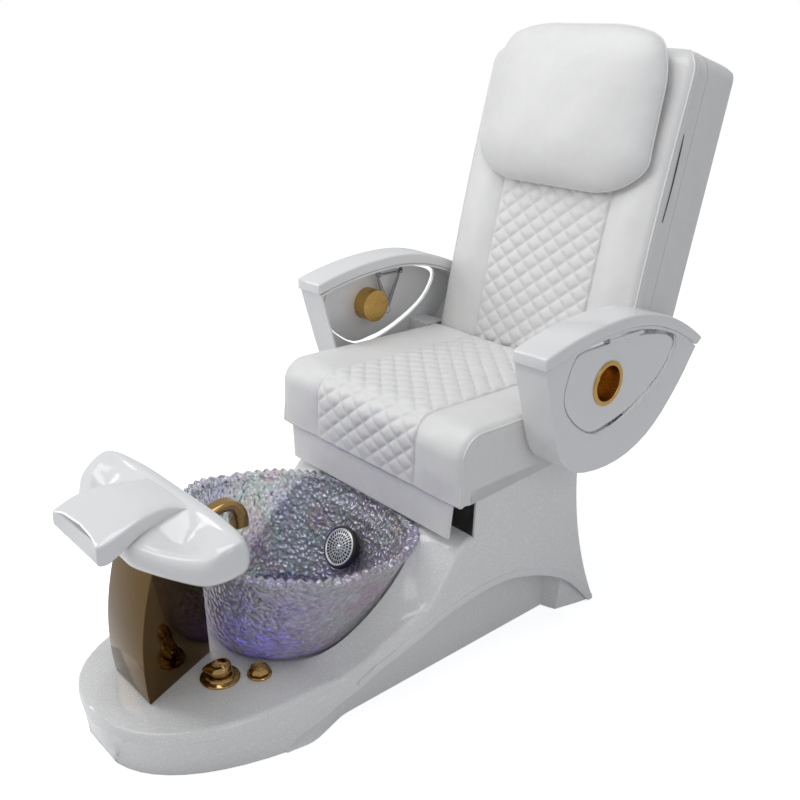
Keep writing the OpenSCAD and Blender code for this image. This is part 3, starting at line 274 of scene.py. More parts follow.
def base_body(t, name):
    low, high = stations(t)
    rows = []
    for y, tall in low + high:
        half = half_section(y, t, tall)
        ring = [(-x, y, z) for x, z in half] + [(x, y, z) for x, z in reversed(half[:-1])]
        rows.append(ring + [(0, y, half[0][1]), ring[0]])
    bm = formed(len(rows[0]) - 1, len(rows) - 1, lambda i, j: rows[j][i])
    bmesh.ops.triangulate(bm, faces=[f for f in bm.faces if len(f.verts) > 4])
    bmesh.ops.remove_doubles(bm, verts=bm.verts, dist=0.02)
    close_ends(bm)
    return loose_object(bm, name)

def prism(name, outline, x0, x1):
    """Block with an outline in y and z, from x0 to x1."""
    bm = bmesh.new()
    verts = [bm.verts.new((x0, y, z)) for y, z in outline]
    face = bm.faces.new(verts)
    grown = bmesh.ops.extrude_face_region(bm, geom=[face])
    for v in grown["geom"]:
        if isinstance(v, bmesh.types.BMVert):
            v.co.x = x1
    return loose_object(bm, name)

def drum(name, place, radius, depth, turn=None):
    bm = bmesh.new()
    bmesh.ops.create_cone(bm, cap_ends=True, segments=64, radius1=radius, radius2=radius, depth=depth,
        matrix=Matrix.Translation(place) @ (turn or Matrix()))
    return loose_object(bm, name)

def carve(solid, cutters):
    for cutter in cutters:
        cut = solid.modifiers.new("cut", "BOOLEAN")
        cut.operation = "DIFFERENCE"
        cut.solver = "MANIFOLD"
        cut.object = cutter
    mesh = bpy.data.meshes.new_from_object(solid.evaluated_get(bpy.context.evaluated_depsgraph_get()))
    solid.modifiers.clear()
    solid.data = mesh
    for cutter in cutters:
        bpy.data.objects.remove(cutter)
    return solid

bowl_y, rim_y, bowl_z, bowl_h, glass = -346, -303, 120, 225, 11
drain_r = 20.1

def squared(v, power):
    """Rounds a circle's sine or cosine out towards a square."""
    return math.copysign(abs(v) ** (2 / power), v)

bowl_foot, rim_across, rim_along = 150, 262, 222        # half sizes at the foot and at the rim

def bowl_part(z, t):
    """Half width, half length, middle and squareness of the bowl at height z, t inside its skin."""
    k = max(0.0, min(1.0, (z - bowl_z) / (bowl_h + 5)))
    a = bowl_foot + (rim_across - bowl_foot) * k ** 0.7 - t
    b = bowl_foot + (rim_along - bowl_foot) * k ** 0.55 - t
    return a, b, bowl_y + (rim_y - bowl_y) * k, 2 + 0.5 * k

def bowl_point(angle, z, t):
    a, b, c, power = bowl_part(z, t)
    return a * squared(math.cos(angle), power), c + b * squared(math.sin(angle), power), z

def bowl_pocket(name, room):
    levels = [118 + h for h in (0, 6, 14, 26, 45, 76, 108, 140, 185, 225, 315)]
    def shape(i, j):
        x, y, z = bowl_point(math.tau * i / 96, levels[j], -5 - room)
        return x, y, z - room
    return loose_object(formed(96, len(levels) - 1, shape), name)

def behind_pedestal(name, shift):
    rear = pedestal_y1 + shift
    line = [(rear + foot_spread * (1 - k / 20) ** 2, pedestal_h * k / 20) for k in range(20, -1, -1)]
    return prism(name, [(rear + foot_spread, -40), (600, -40), (600, 515), (rear, 515)] + line, -400, 400)

tap_places = [(84, -558), (125, -492), (-50, -563)]
moulding = carve(base_body(0, "base_moulding"), [behind_pedestal("behind", 0)])
hollow = carve(base_body(wall, "hollow"), [behind_pedestal("behind", -wall)])
hollow = carve(hollow, [bowl_pocket("wide_pocket", wall)])
opening_line = through([(-505, -2), (-480, 24), (-440, 36), (-400, 48), (-360, 63), (-329, 80), (-299, 104),
    (-253, 131), (-203, 153), (-118, 178), (-29, 191), (30, 192), (96, 184), (189, 153), (270, 112), (327, 67),
    (395, -2)], 5)
arch = opening_line + [(opening_line[-1][0], -60), (opening_line[0][0], -60)]
jet_x, jet_level, jet_tilt = -18, 208, 61
motor_y = bowl_part(jet_level, 0)[2] + bowl_part(jet_level, 0)[1] + 1.8
motor_turn = turned_by(jet_tilt - 180, "X")
motor_place = Vector((jet_x, motor_y, jet_level)) + motor_turn @ Vector((0, 0, 23))
panel = [(255, 150), (415, 150), (415, 320), (255, 320)]
moulding = carve(moulding, [hollow, bowl_pocket("pocket", 0), prism("arch_left", arch, 218, 420),
    prism("arch_right", arch, -420, -218), prism("panel_hole", panel, -150, 150),
    drum("motor_hole", motor_place, 30.3, 50, motor_turn),
    drum("drain_hole", (0, bowl_y, deck_h), drain_r - 0.05, 60)]
    + [drum("tap_hole", (x, y, deck_h), 11.05, 60) for x, y in tap_places])
into_place(moulding.data.vertices)

def group(name, tone_kind, **inputs):
    """Node group of a finish: it takes a place and named values, and gives tone, roughness and height."""
    tree = bpy.data.node_groups.new(name, "ShaderNodeTree")
    def socket(label, way, kind):
        return tree.interface.new_socket(name=label, in_out=way, socket_type="NodeSocket" + kind)
    socket("Vector", "INPUT", "Vector")
    for label, value in inputs.items():
        socket(label, "INPUT", "Float" if isinstance(value, float) else "Vector").default_value = value
    for label, kind in (("Tone", tone_kind), ("Roughness", "Float"), ("Height", "Float")):
        socket(label, "OUTPUT", kind)
    return tree, tree.nodes, tree.nodes.new("NodeGroupInput").outputs, tree.nodes.new("NodeGroupOutput").inputs

# Gel coat: fine bright flecks and a faint orange-peel ripple
gel_fleck, nodes, given, gives = group("gel_fleck", "Float", Scale=900.0, Fleck=0.1, Rough=0.15)
cells = add(nodes, "ShaderNodeTexVoronoi", Vector=given["Vector"], Scale=given["Scale"])
few = maths(nodes, "GREATER_THAN", add(nodes, "ShaderNodeSeparateColor", cells.outputs["Color"]).outputs[0], 0.9)
feed(gives["Tone"], maths(nodes, "MULTIPLY_ADD", few, given["Fleck"], 1.0))
cloud = add(nodes, "ShaderNodeTexNoise", Vector=given["Vector"], Scale=7.0, Detail=3.0)
feed(gives["Roughness"], maths(nodes, "MULTIPLY_ADD", cloud.outputs[0], 0.08, given["Rough"]))
peel = add(nodes, "ShaderNodeTexNoise", Vector=given["Vector"], Scale=120.0, Detail=2.0)
feed(gives["Height"], peel.outputs[0])

def mixed(nodes, share, a, b, **how):
    node = add(nodes, "ShaderNodeMix", share, data_type="RGBA", **how)
    feed(node.inputs[6], a)
    feed(node.inputs[7], b)
    return node.outputs[2]

def paint(name, colour, finish, settings, shader, bump=0.1, distance=0.0004):
    """Material whose tone, roughness and relief come from a finish's node group."""
    mat = bpy.data.materials.new(name)
    nodes = node_tree(mat)
    pattern = nodes.new("ShaderNodeGroup")
    pattern.node_tree = finish
    for key, value in settings.items():
        pattern.inputs[key].default_value = value
    feed(pattern.inputs["Vector"], add(nodes, "ShaderNodeTexCoord").outputs["Object"])
    relief = add(nodes, "ShaderNodeBump", Strength=bump, Distance=distance, Height=pattern.outputs["Height"])
    face = add(nodes, "ShaderNodeBsdfPrincipled", Roughness=pattern.outputs["Roughness"],
        Normal=relief.outputs[0], **shader)
    feed(face.inputs["Base Color"],
        mixed(nodes, 1.0, (*colour, 1), pattern.outputs["Tone"], blend_type="MULTIPLY"))
    add(nodes, "ShaderNodeOutputMaterial", face.outputs[0])
    return mat

gel_coat = paint("gel_coat", (0.80, 0.80, 0.79), gel_fleck, {"Scale": 700.0, "Fleck": 0.22, "Rough": 0.10},
    {"Coat Weight": 0.5, "Coat Roughness": 0.06, "Specular IOR Level": 0.5}, 0.04)
gel_plain = paint("gel_plain", (0.80, 0.80, 0.80), gel_fleck, {"Scale": 700.0, "Fleck": 0.0, "Rough": 0.10},
    {"Coat Weight": 0.4, "Coat Roughness": 0.06}, 0.03)
fitted(moulding, "base", gel_coat, 32, "gloss_white", "base_shell")

def dress(mat, *nodes):
    """CAD pieces whose shape is right get their finish."""
    for node in nodes:
        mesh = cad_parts[node].data
        mesh.materials.clear()
        mesh.materials.append(mat)

# Half width of the skirt at the floor, where it spreads to the feet at both ends, and at its head;
# then the height of its head
skirt_foot = [(-505, 235), (-492, 236.5), (-463, 242), (-448, 243), (-432, 241), (-416, 236.5), (-385, 227.5),
    (-360, 220.5), (-345, 218.3), (-320, 218), (283, 218), (290, 240), (296, 255), (325, 262), (355, 270), (402, 280)]
skirt_head = [(-505, 228), (-450, 226), (-425, 225.5), (-375, 222), (-340, 219), (-310, 218), (283, 218), (296, 262),
    (402, 277)]
skirt_top = [(-440, 74), (-385, 96), (-338, 118), (-287, 160), (-200, 200), (-150, 214), (100, 214), (220, 160),
    (290, 112), (330, 80), (385, 22), (402, 8)]
skirt_run = [-505 + 6.5 * k for k in range(31)] + [-300 + 50 * k for k in range(12)]
skirt_run += [270, 283, 287, 291, 296, 302, 312, 325, 340, 355, 370, 385, 395, 402]
cross_y, cross_half, cross_h = 290, 213.5, 210

def skirt_point(i, j, side):
    """i runs up the outer face in 10 steps, over the top and down the inner face."""
    y, k = skirt_run[j], i % 22
    z = height_on(skirt_top, y) * (k if k <= 10 else 21 - k) / 10
    foot, head = height_on(skirt_foot, y), height_on(skirt_head, y)
    share = max(0.0, 1 - z / max(20.0, height_on(opening_line, y))) ** 1.3
    return side * (head + (foot - head) * share - (0 if k <= 10 else wall)), y, z

bm = formed(22, len(skirt_run) - 1, lambda i, j: skirt_point(i, j, 1), lambda i, j: skirt_point(i, j, -1))
cross = bmesh.ops.create_cube(bm, size=1)
bmesh.ops.scale(bm, vec=(2 * cross_half, wall, cross_h), verts=cross["verts"])
bmesh.ops.translate(bm, vec=(0, cross_y - wall / 2, cross_h / 2), verts=cross["verts"])
finished(bm, "skirt_walls", "base", gel_coat, 32, "gloss_white", "base_skirt")

lip_start, lip_end, lip_rows = -330, 392, 90
lip_section = [(-3, 0), (-1, -0.4), (1, 0.6), (2.2, 4), (2.4, 9), (2.2, 14), (1.2, 17.4), (-1, 18.4), (-3, 18)]

def lip_point(i, j, side):
    """Rolled lip, 18 mm deep, that runs along each opening's edge."""
    y = lip_start + (lip_end - lip_start) * j / lip_rows
    z = height_on(opening_line, y)
    (y0, z0), (y1, z1) = [(y + d, height_on(opening_line, y + d)) for d in (-2, 2)]
    run = math.hypot(y1 - y0, z1 - z0)
    proud, up = lip_section[i % len(lip_section)]
    return side * (deck_half(y) + proud), y - up * (z1 - z0) / run, z + up * (y1 - y0) / run

bm = formed(len(lip_section), lip_rows, lambda i, j: lip_point(i, j, 1), lambda i, j: lip_point(i, j, -1))
finished(bm, "arch_lips", "base", gel_plain, 40, "gloss_white")
dress(gel_plain, "rear_access_panel")

# ---------------------------------------------------------------- chassis and drives
# Square steel tube welded and powder coated in black, on screw-in feet. The rails, slide screw,
# drives, control box and drain are bought-in parts that only show from behind or below.
coat_wear, nodes, given, gives = group("coat_wear", "Float", Scale=40.0, Rough=0.4, Spread=0.2, Stretch=(1, 1, 1))
pull = add(nodes, "ShaderNodeVectorMath", given["Vector"], given["Stretch"], operation="MULTIPLY")
grit = add(nodes, "ShaderNodeTexNoise", Vector=pull.outputs[0], Scale=given["Scale"], Detail=5.0, Roughness=0.6)
cloud = add(nodes, "ShaderNodeTexNoise", Vector=given["Vector"], Scale=6.0, Detail=4.0)

def ranged(nodes, value, *limits):
    """Value carried from one range, low and high, to another."""
    return add(nodes, "ShaderNodeMapRange", value, *limits).outputs[0]

feed(gives["Tone"], ranged(nodes, cloud.outputs[0], 0.0, 1.0, 0.88, 1.08))
feed(gives["Roughness"], maths(nodes, "MULTIPLY_ADD", grit.outputs[0], given["Spread"], given["Rough"]))
feed(gives["Height"], grit.outputs[0])

def worn(name, colour, scale, rough, spread, bump, metal=1.0, stretch=(1, 1, 1)):
    """Plating, powder coat, plastic or rubber with fine grit and faint clouds."""
    return paint(name, colour, coat_wear, {"Scale": scale, "Rough": rough, "Spread": spread, "Stretch": stretch},
        {"Metallic": metal}, bump)

black_coat = worn("black_coat", (0.018, 0.018, 0.02), 400.0, 0.36, 0.18, 0.25, 0.0)
black_moulding = worn("black_moulding", (0.02, 0.02, 0.022), 700.0, 0.42, 0.15, 0.2, 0.0)
foot_rubber = worn("foot_rubber", (0.012, 0.012, 0.012), 260.0, 0.65, 0.2, 0.3, 0.0)
drawn_steel = worn("drawn_steel", (0.50, 0.51, 0.53), 220.0, 0.22, 0.16, 0.12, stretch=(1, 0.04, 1))
dress(black_coat, "base_frame", "seat_pan", "massage_carriage", "back_frame", "footrest_bracket", "footrest_block")
dress(black_moulding, "control_box", "slide_motor", "recline_motor", "drain_tail", "massage_rollers", "jet_motor")
dress(foot_rubber, "levelling_feet", "bowl_gasket")
dress(drawn_steel, "slide_rails", "seat_carriage", "massage_rails", "access_screws", "drain_flange", "drain_stopper",
    "jet_impeller")

# ---------------------------------------------------------------- foot bowl
# Pressed crystal glass, 11 mm thick, hammered inside and out, with a scalloped rim that rises at
# the front. A thin rainbow coating tints it, and a violet lamp ring lights it from below.
def turn_from(a, b):
    """Degrees from b round to a, between -180 and 180."""
    return (a - b + 540) % 360 - 180

def rim_lift(angle):
    """The rim's rise: a high lobe in front, a low one beside it, and nine slight waves."""
    def lobe(rise, at, width):
        d = turn_from(math.degrees(angle), at)
        return rise * math.cos(math.radians(90 * d / width)) ** 2 if abs(d) < width else 0
    return lobe(33, 212, 64) + lobe(11, 325, 54) + 1.6 * (1 + math.cos(9 * angle + 0.6))

def scallop(angle):
    """Small pressed scallops of the rim's bead, unevenly spaced."""
    return abs(math.sin(34 * angle + 1.1 * math.sin(3 * angle)))

def lens_ledge(angle, z):
    """Moulded ledge that runs along the inside of the rear wall, over the jet."""
    along = turn_from(math.degrees(angle), 98) / 24
    return 8 * math.exp(-((z - 292 + 12 * along * along) / 7) ** 2) * max(0.0, 1 - along ** 4)

levels = [0, 0.004, 0.012, 0.025, 0.045] + [0.07 + 0.84 * k / 17 for k in range(18)] + [0.94, 0.965, 0.985, 1.0]
outer = [(bowl_z + f * (bowl_h - 2), f, 0) for f in levels]
inner = [(max(bowl_z + glass, z), f, glass) for z, f, _ in reversed(outer) if z > bowl_z + glass - 3]
brim = [(bowl_z + bowl_h - 1, 1.0, 2.5), (bowl_z + bowl_h, 1.0, 5.5), (bowl_z + bowl_h - 1, 1.0, 8.5)]
profile = outer + brim + inner
bowl_steps = 288

def bowl_skin(i, j):
    angle = math.tau * (i % bowl_steps) / bowl_steps
    if j == 0 or j == len(profile) + 1:
        return drain_r * math.cos(angle), bowl_y + drain_r * math.sin(angle), bowl_z + (glass if j else 0)
    z, f, t = profile[j - 1]
    bead = smooth((f - 0.935) / 0.03)
    roll = bead * (2.8 + 4.2 * scallop(angle))
    ledge = lens_ledge(angle, z) if t > 5 else 0
    x, y, z = bowl_point(angle, z, t - (roll if t < 5 else -0.8 * roll) + ledge)
    k = 1 - (0 if t else 0.03 * max(0.0, 1 - (z - bowl_z) / 12))
    lift = rim_lift(angle) - 6.5 * bead * (1 - scallop(angle))
    return x * k, (y - bowl_y) * k + bowl_y, z + lift * (f ** 3 if f < 1 else 1)

# Hammered glass: warped dents, a slow drift of rainbow tints, painted shade in the dents and painted shade on the
# foot
tree, nodes, given, gives = group("hammered_crystal", "Color", Scale=60.0, Rough=0.03)
warp = add(nodes, "ShaderNodeTexNoise", Vector=given["Vector"], Scale=26.0, Detail=2.0)
push = add(nodes, "ShaderNodeVectorMath", warp.outputs["Color"], (0.022, 0.022, 0.022), given["Vector"],
    operation="MULTIPLY_ADD")
dents = add(nodes, "ShaderNodeTexVoronoi", feature="SMOOTH_F1", Vector=push.outputs[0], Scale=given["Scale"],
    Smoothness=0.3)
feed(gives["Height"], dents.outputs["Distance"])
sheen = add(nodes, "ShaderNodeTexNoise", Vector=push.outputs[0], Scale=7.0, Detail=2.0)
tint = add(nodes, "ShaderNodeValToRGB", sheen.outputs[0])
ramp = tint.color_ramp.elements
for end, at, colour in ((0, 0.36, (0.76, 0.77, 0.93, 1)), (1, 0.66, (0.86, 0.76, 0.90, 1))):
    ramp[end].position, ramp[end].color = at, colour
for at, colour in ((0.46, (0.90, 0.90, 0.94, 1)), (0.56, (0.78, 0.90, 0.88, 1)), (0.61, (0.92, 0.88, 0.82, 1))):
    ramp.new(at).color = colour
# Painted shade: each dent's tint darkens from its middle out to the ridges round it, down to 0.62
hollows = ranged(nodes, dents.outputs["Distance"], 0.12, 0.62, 1.0, 0.62)
deep = mixed(nodes, 1.0, tint.outputs[0], hollows, blend_type="MULTIPLY")
# Painted shade: the glass of the bowl's floor, below 134 mm, takes a dark blue-grey that fades out by 142 mm
foot = ranged(nodes, add(nodes, "ShaderNodeSeparateXYZ", given["Vector"]).outputs["Z"], 0.134, 0.142)
feed(gives["Tone"], mixed(nodes, foot, (0.17, 0.17, 0.22, 1), deep))
feed(gives["Roughness"], maths(nodes, "MULTIPLY_ADD", sheen.outputs[0], 0.06, given["Rough"]))
crystal = paint("hammered_glass", (1.0, 1.0, 1.0), tree, {"Scale": 92.0, "Rough": 0.02}, {"Metallic": 0.12,
    "Transmission Weight": 0.72, "IOR": 1.5, "Thin Film Thickness": 345.0, "Thin Film IOR": 1.7}, 1.0, 0.0055)

bm = bmesh.new()
skin(bm, bowl_steps, len(profile) + 1, bowl_skin)
bmesh.ops.bridge_loops(bm, edges=[e for e in bm.edges if e.is_boundary])
finished(bm, "crystal_bowl", "base", crystal, 60, "crystal", "glass_bowl")

# The lamp ring is brightest behind the post and fades round to the seat's side
lamp_diffuser = paint("lamp_diffuser", (0.40, 0.36, 0.95), coat_wear, {"Scale": 90.0, "Rough": 0.4, "Spread": 0.1},
    {"Emission Strength": 150.0}, 0.05)
nodes = lamp_diffuser.node_tree.nodes
place = add(nodes, "ShaderNodeTexCoord").outputs["Object"]
reach = add(nodes, "ShaderNodeVectorMath", place, (0.02, -0.50, 0.12), operation="DISTANCE").outputs["Value"]
violet = mixed(nodes, ranged(nodes, reach, 0.06, 0.19, 1.0, 0.05), (0, 0, 0, 1), (0.16, 0.12, 1.0, 1))
for face in [n for n in nodes if n.bl_idname == "ShaderNodeBsdfPrincipled"]:
    feed(face.inputs["Emission Color"], violet)
dress(lamp_diffuser, "led_lamp")

# ---------------------------------------------------------------- water jet
# A pierced, chromed grille on the bowl's rear wall, pressed from sheet and held in a black moulded
# collar over a small impeller. A sealed motor drives it from behind the wall.
def turned(bm, points, place=None, steps=72):
    """Profile of radius and height, spun round its own axis and set in place."""
    before = set(bm.verts)
    line = [bm.verts.new((r, 0, z)) for r, z in points]
    edges = [bm.edges.new(pair) for pair in zip(line, line[1:])]
    bmesh.ops.spin(bm, geom=line + edges, cent=(0, 0, 0), axis=(0, 0, 1), angle=math.tau, steps=steps, use_merge=True)
    bmesh.ops.remove_doubles(bm, verts=[v for v in bm.verts if v not in before], dist=0.005)
    if place:
        bmesh.ops.transform(bm, matrix=place, verts=[v for v in bm.verts if v not in before])

grille_chrome = worn("grille_chrome", (0.86, 0.87, 0.90), 300.0, 0.28, 0.1, 0.05)
jet_z = deck_h + 96
jet_half = bowl_part(jet_z, glass)
jet_place = Matrix.Translation((jet_x, jet_half[2] + jet_half[1] - 3.2, jet_z)) @ turned_by(jet_tilt, "X")
bm = bmesh.new()
turned(bm, [(42.3, 12), (47.5, 14), (49.5, 20), (49.5, 25), (48, 28), (45.6, 29), (43.6, 28), (42.6, 25), (42.3, 12)],
    jet_place)
finished(bm, "jet_collar", "base", black_moulding, 30, "black_plastic")
dress(black_moulding, "jet_housing")

bm = bmesh.new()
for r0, r1, count in ((5.5, 13, 9), (13, 21.5, 16), (21.5, 30.5, 24), (30.5, 39.5, 32)):
    def leaf(i, j):
        a = math.tau * (i % count) / count
        r = r0 + (r1 - r0) * j
        return r * math.cos(a), r * math.sin(a), 29.4 - 0.0015 * r * r
    before = set(bm.faces)
    skin(bm, count, 1, leaf)
    band = [f for f in bm.faces if f not in before]
    bmesh.ops.inset_individual(bm, faces=band, thickness=0.95, use_even_offset=True)
    bmesh.ops.delete(bm, geom=band, context="FACES_ONLY")
bmesh.ops.recalc_face_normals(bm, faces=bm.faces)
bmesh.ops.solidify(bm, geom=list(bm.faces), thickness=-1.6)
bmesh.ops.transform(bm, matrix=jet_place, verts=bm.verts)
turned(bm, [(0, 31.2), (3, 31), (5, 30.2), (6.4, 28.4), (6.4, 26.6), (0, 26.6)], jet_place, 32)
turned(bm, [(38.8, 26.4), (38.8, 28.4), (40, 30), (42, 30.2), (43.2, 29), (43.4, 26.4), (38.8, 26.4)], jet_place)
finished(bm, "jet_screen", "base", grille_chrome, 30, "grille_chrome", "jet_grille")

# ---------------------------------------------------------------- footrest post
# Folded and welded sheet, polished and plated in a dark bronze-gold: a bowed front face and two
# flat sides that meet in an edge towards the bowl, with a black neck for the footrest's pivot.
post_z0, post_z1, post_rows = deck_h, 408.0, 28

def post_corner(z, k):
    front = -711 + 0.00088 * (z - 210) ** 2
    return [(-71, front, z), (71, front, z), (0, bowl_y - 183 - 0.05 * (z - deck_h), z)][k]

bronze = worn("bronze_plate", (0.135, 0.083, 0.030), 30.0, 0.04, 0.05, 0.02)

def sharp_edges(bm, angle):
    return [e for e in bm.edges if len(e.link_faces) == 2 and e.calc_face_angle() > angle]

def round_off(bm, edges, radius, segments, clamped=True):
    bmesh.ops.bevel(bm, geom=edges, offset=radius, affect="EDGES", segments=segments, profile=0.5, material=-1,
        clamp_overlap=clamped)

bm = formed(3, post_rows, lambda i, j: post_corner(post_z0 + (post_z1 - post_z0) * j / post_rows, i % 3))
round_off(bm, sharp_edges(bm, 0.6), 1.6, 3, False)
finished(bm, "bronze_post", "base", bronze, 30, "bronze", "footrest_post")

def softened(node, name, body, mat, radius, slot, segments=3, flat=24, mouth=0.0, twin=None):
    """The same piece with its edges rounded, as it leaves the mould or the polisher. The thin rim of
    an open shell, inside of the mouth's x, stays as it was trimmed. With a twin given, the piece is
    the twin's mirror across the middle, as the right mould is of the left one."""
    bm = bmesh.new()
    bm.from_mesh(twin.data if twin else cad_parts[node].data)
    if twin:
        bmesh.ops.scale(bm, vec=(-1, 1, 1), verts=bm.verts)
        bmesh.ops.reverse_faces(bm, faces=bm.faces)
    else:
        bmesh.ops.remove_doubles(bm, verts=bm.verts, dist=1e-6)
        bmesh.ops.dissolve_limit(bm, angle_limit=math.radians(0.8), verts=bm.verts, edges=bm.edges)
        edges = sharp_edges(bm, math.radians(32))
        edges = [e for e in edges if not all(abs(v.co.x) < mouth for v in e.verts)]
        round_off(bm, edges, radius * 0.001, segments)
        if mouth:
            bmesh.ops.triangulate(bm, faces=[f for f in bm.faces if len(f.verts) > 4])
    return fitted(linked(bm, name), body, mat, flat, slot, node)

# ---------------------------------------------------------------- footrest
# Two dished rests moulded in one piece of gloss white skinned foam, and a soft tongue laid over
# their middle that hangs down over the front edge. Both ride on the block above the pivot.
rest_y, rest_z = -652.0, 434.0
rest_lip = through([(0, -716, 487), (60, -716, 486), (98, -714, 484), (145, -697, 482), (190, -674, 485),
    (222, -656, 491), (238, -633, 503), (244, -612, 509), (238, -598, 511), (213, -593, 512), (168, -593, 513),
    (115, -595, 515), (60, -597, 515), (0, -598, 515)], 6)
rest_edge = through([(0, -728, 462), (60, -731, 462), (100, -730, 462), (152, -711, 461), (201, -688, 459),
    (239, -664, 459), (250, -636, 459), (252, -606, 464), (246, -584, 467), (222, -568, 466), (175, -556, 462),
    (118, -550, 460), (60, -548, 460), (0, -548, 460)], 6)

dish_rows, side_rows, rest_rows = 26, 36, 44      # where the top ends, the side ends, and all of them

def rest_point(i, j):
    """j runs from the middle of the top out to the lip, down the side and in under the rest."""
    n = len(rest_lip) - 1
    k = i % (2 * n)
    side, k = (1, k) if k <= n else (-1, 2 * n - k)
    (lx, ly, lz), (ex, ey, ez) = rest_lip[k], rest_edge[k]
    if j <= dish_rows:
        r = j / dish_rows
        x, y = lx * r, rest_y + (ly - rest_y) * r
        crown = 506 + (lz - 506) * r * r
        dish = 23 * math.exp(-((x - 142) / 58) ** 2) * math.exp(-((y - rest_y) / 36) ** 2) * (1 - r ** 7)
        return side * x, y, crown - dish + 2.2 * math.exp(-((r - 0.93) / 0.05) ** 2) * smooth((x - 90) / 60)
    if j <= side_rows:
        a = math.pi / 2 * (j - dish_rows) / (side_rows - dish_rows)
        out, drop = math.sin(a), 1 - math.cos(a)
        return side * (lx + (ex - lx) * out), ly + (ey - ly) * out, lz + (ez - lz) * drop
    b = (j - side_rows) / (rest_rows - side_rows)
    r = 1 - 0.16 * (1 - math.cos(math.pi / 2 * min(1, b * 2))) - 0.84 * smooth(b * 2 - 1)
    low = rest_z + (ez - rest_z) * max(0.0, 1 - math.sin(math.pi / 2 * min(1, b * 2)))
    return side * ex * r, rest_y + (ey - rest_y) * r, low

soft_skin = paint("skinned_foam", (0.80, 0.80, 0.80), gel_fleck, {"Scale": 500.0, "Fleck": 0.0, "Rough": 0.16},
    {"Coat Weight": 0.6, "Coat Roughness": 0.05}, 0.05)
bm = bmesh.new()
skin(bm, 2 * (len(rest_lip) - 1), rest_rows, rest_point)
finished(bm, "footrest_lobes", "footrest", soft_skin, 180, "gloss_white", "footrest_pads", fill=0.9)

band_rows = through([(-787, 88, 3, -36), (-783, 93, 6, -39), (-768, 96, 11, -38), (-738, 94, 20, -24),
    (-706, 87, 26, -10), (-676, 79, 28, -6), (-648, 73, 26, -8), (-626, 73, 22, -10), (-610, 79, 18, -14),
    (-600, 88, 14.5, -18), (-590, 96, 6, -22), (-578, 92, -8, -26)], 6)
band_z, band_steps = 498, 64

def band_point(i, j):
    """i runs round the tongue's section: over the top, round its edge and back underneath."""
    y, half, high, low = band_rows[j]
    a = math.tau * (i % band_steps) / band_steps
    c, s = math.cos(a), math.sin(a)
    x = half * squared(c, 9)
    edge = abs(x) / half
    front = smooth((-740 - y) / 40) if x < 0 else 0
    upper = band_z + high + 1.5 - 2.5 * edge ** 4 - 4 * front * edge ** 4
    lower = band_z + low + 6 * front * edge ** 2
    folds = 0.7 * math.sin(x * 0.09 + y * 0.05) * math.sin(y * 0.06 - x * 0.03)
    nose = 12 * (1 - edge ** 2) * math.exp(-((y - band_rows[0][0]) / 30) ** 2)
    return x, y + nose, (upper + lower) / 2 + folds * max(0.0, s) + (upper - lower) / 2 * squared(s, 9)

bm = formed(band_steps, len(band_rows) - 1, band_point)
ends = [f for f in bm.faces if len(f.verts) > 8]
round_off(bm, [e for f in ends for e in f.edges], 1.8, 3)
finished(bm, "footrest_tongue", "footrest", soft_skin, 50, "gloss_white", "footrest_band", fill=0.9)

# ---------------------------------------------------------------- taps and spout
# Polished and plated castings: a round mixer knob on a domed plate, a smaller faceted drain knob,
# and a flat spout that swings on its column and curves down over the bowl's rim.
tap_gold = worn("tap_gold", (0.40, 0.255, 0.10), 40.0, 0.07, 0.06, 0.02)
mixer_place = Matrix.Translation((*tap_places[0], deck_h))
bm = bmesh.new()
turned(bm, [(0, 0), (39.2, 0), (40, 1), (40, 2.6), (38.6, 4), (34, 5.4), (30.5, 6.2), (29.6, 8), (29, 11), (27.4, 12),
    (0, 12)], mixer_place)
finished(bm, "mixer_plate", "base", tap_gold, 28, "bronze", "mixer_escutcheon")

grip_levels = [(0, 12.4), (20, 12.4), (22.6, 13), (23.6, 14.6), (24.2, 18), (24.4, 22), (23.6, 26), (22.6, 29),
    (20.6, 31.6), (17.8, 33.4), (14.6, 34.4), (10.6, 33.4), (5, 32.8), (0, 32.8)]
grip_steps = 72

def mixer_grip(i, j):
    """Barrel with a slanting crown and a thumb lever on its front."""
    r, z = grip_levels[j]
    a = math.tau * (i % grip_steps) / grip_steps
    lever = math.exp(-(turn_from(math.degrees(a), 232) / 26) ** 2) * smooth((z - 15) / 4) * smooth((36 - z) / 6)
    r += 10 * lever * smooth(r / 18) - 0.8 * abs(math.sin(3 * a + 0.4)) * smooth(r / 14)
    slant = (3.4 * math.cos(a - 0.9) * r / 20) * smooth((z - 20) / 10)
    return r * math.cos(a), r * math.sin(a), z + slant

bm = bmesh.new()
skin(bm, grip_steps, len(grip_levels) - 1, mixer_grip)
turned(bm, [(0, 4.6), (7, 4.6), (7, 13), (0, 13)], None, 24)
bmesh.ops.transform(bm, matrix=mixer_place, verts=bm.verts)
finished(bm, "mixer_handle", "mixer", tap_gold, 24, "bronze", "mixer_knob")

drain_place = Matrix.Translation((*tap_places[1], deck_h))
bm = bmesh.new()
turned(bm, [(0, 0), (24.4, 0), (25, 0.8), (25, 3), (23.6, 4.6), (20, 5), (0, 5)], drain_place)
finished(bm, "drain_plate", "base", tap_gold, 28, "bronze", "drain_knob_base")
bm = bmesh.new()
turned(bm, [(0, 5.4), (19.5, 5.4), (21.5, 6.2), (22, 10), (20.5, 14.5), (15.5, 18.6), (12.6, 19.2), (0, 19.2)],
    None, 8)
round_off(bm, sharp_edges(bm, 0.3), 0.7, 2)
turned(bm, [(0, 18.6), (12, 18.6), (12.4, 19.8), (11.6, 21), (9.6, 21.4), (8.4, 20.4), (3, 21.2), (0, 21.4)],
    None, 48)
turned(bm, [(0, -1.6), (5, -1.6), (5, 8), (0, 8)], None, 24)
bmesh.ops.transform(bm, matrix=drain_place @ Matrix.Rotation(0.3, 4, "Z"), verts=bm.verts)
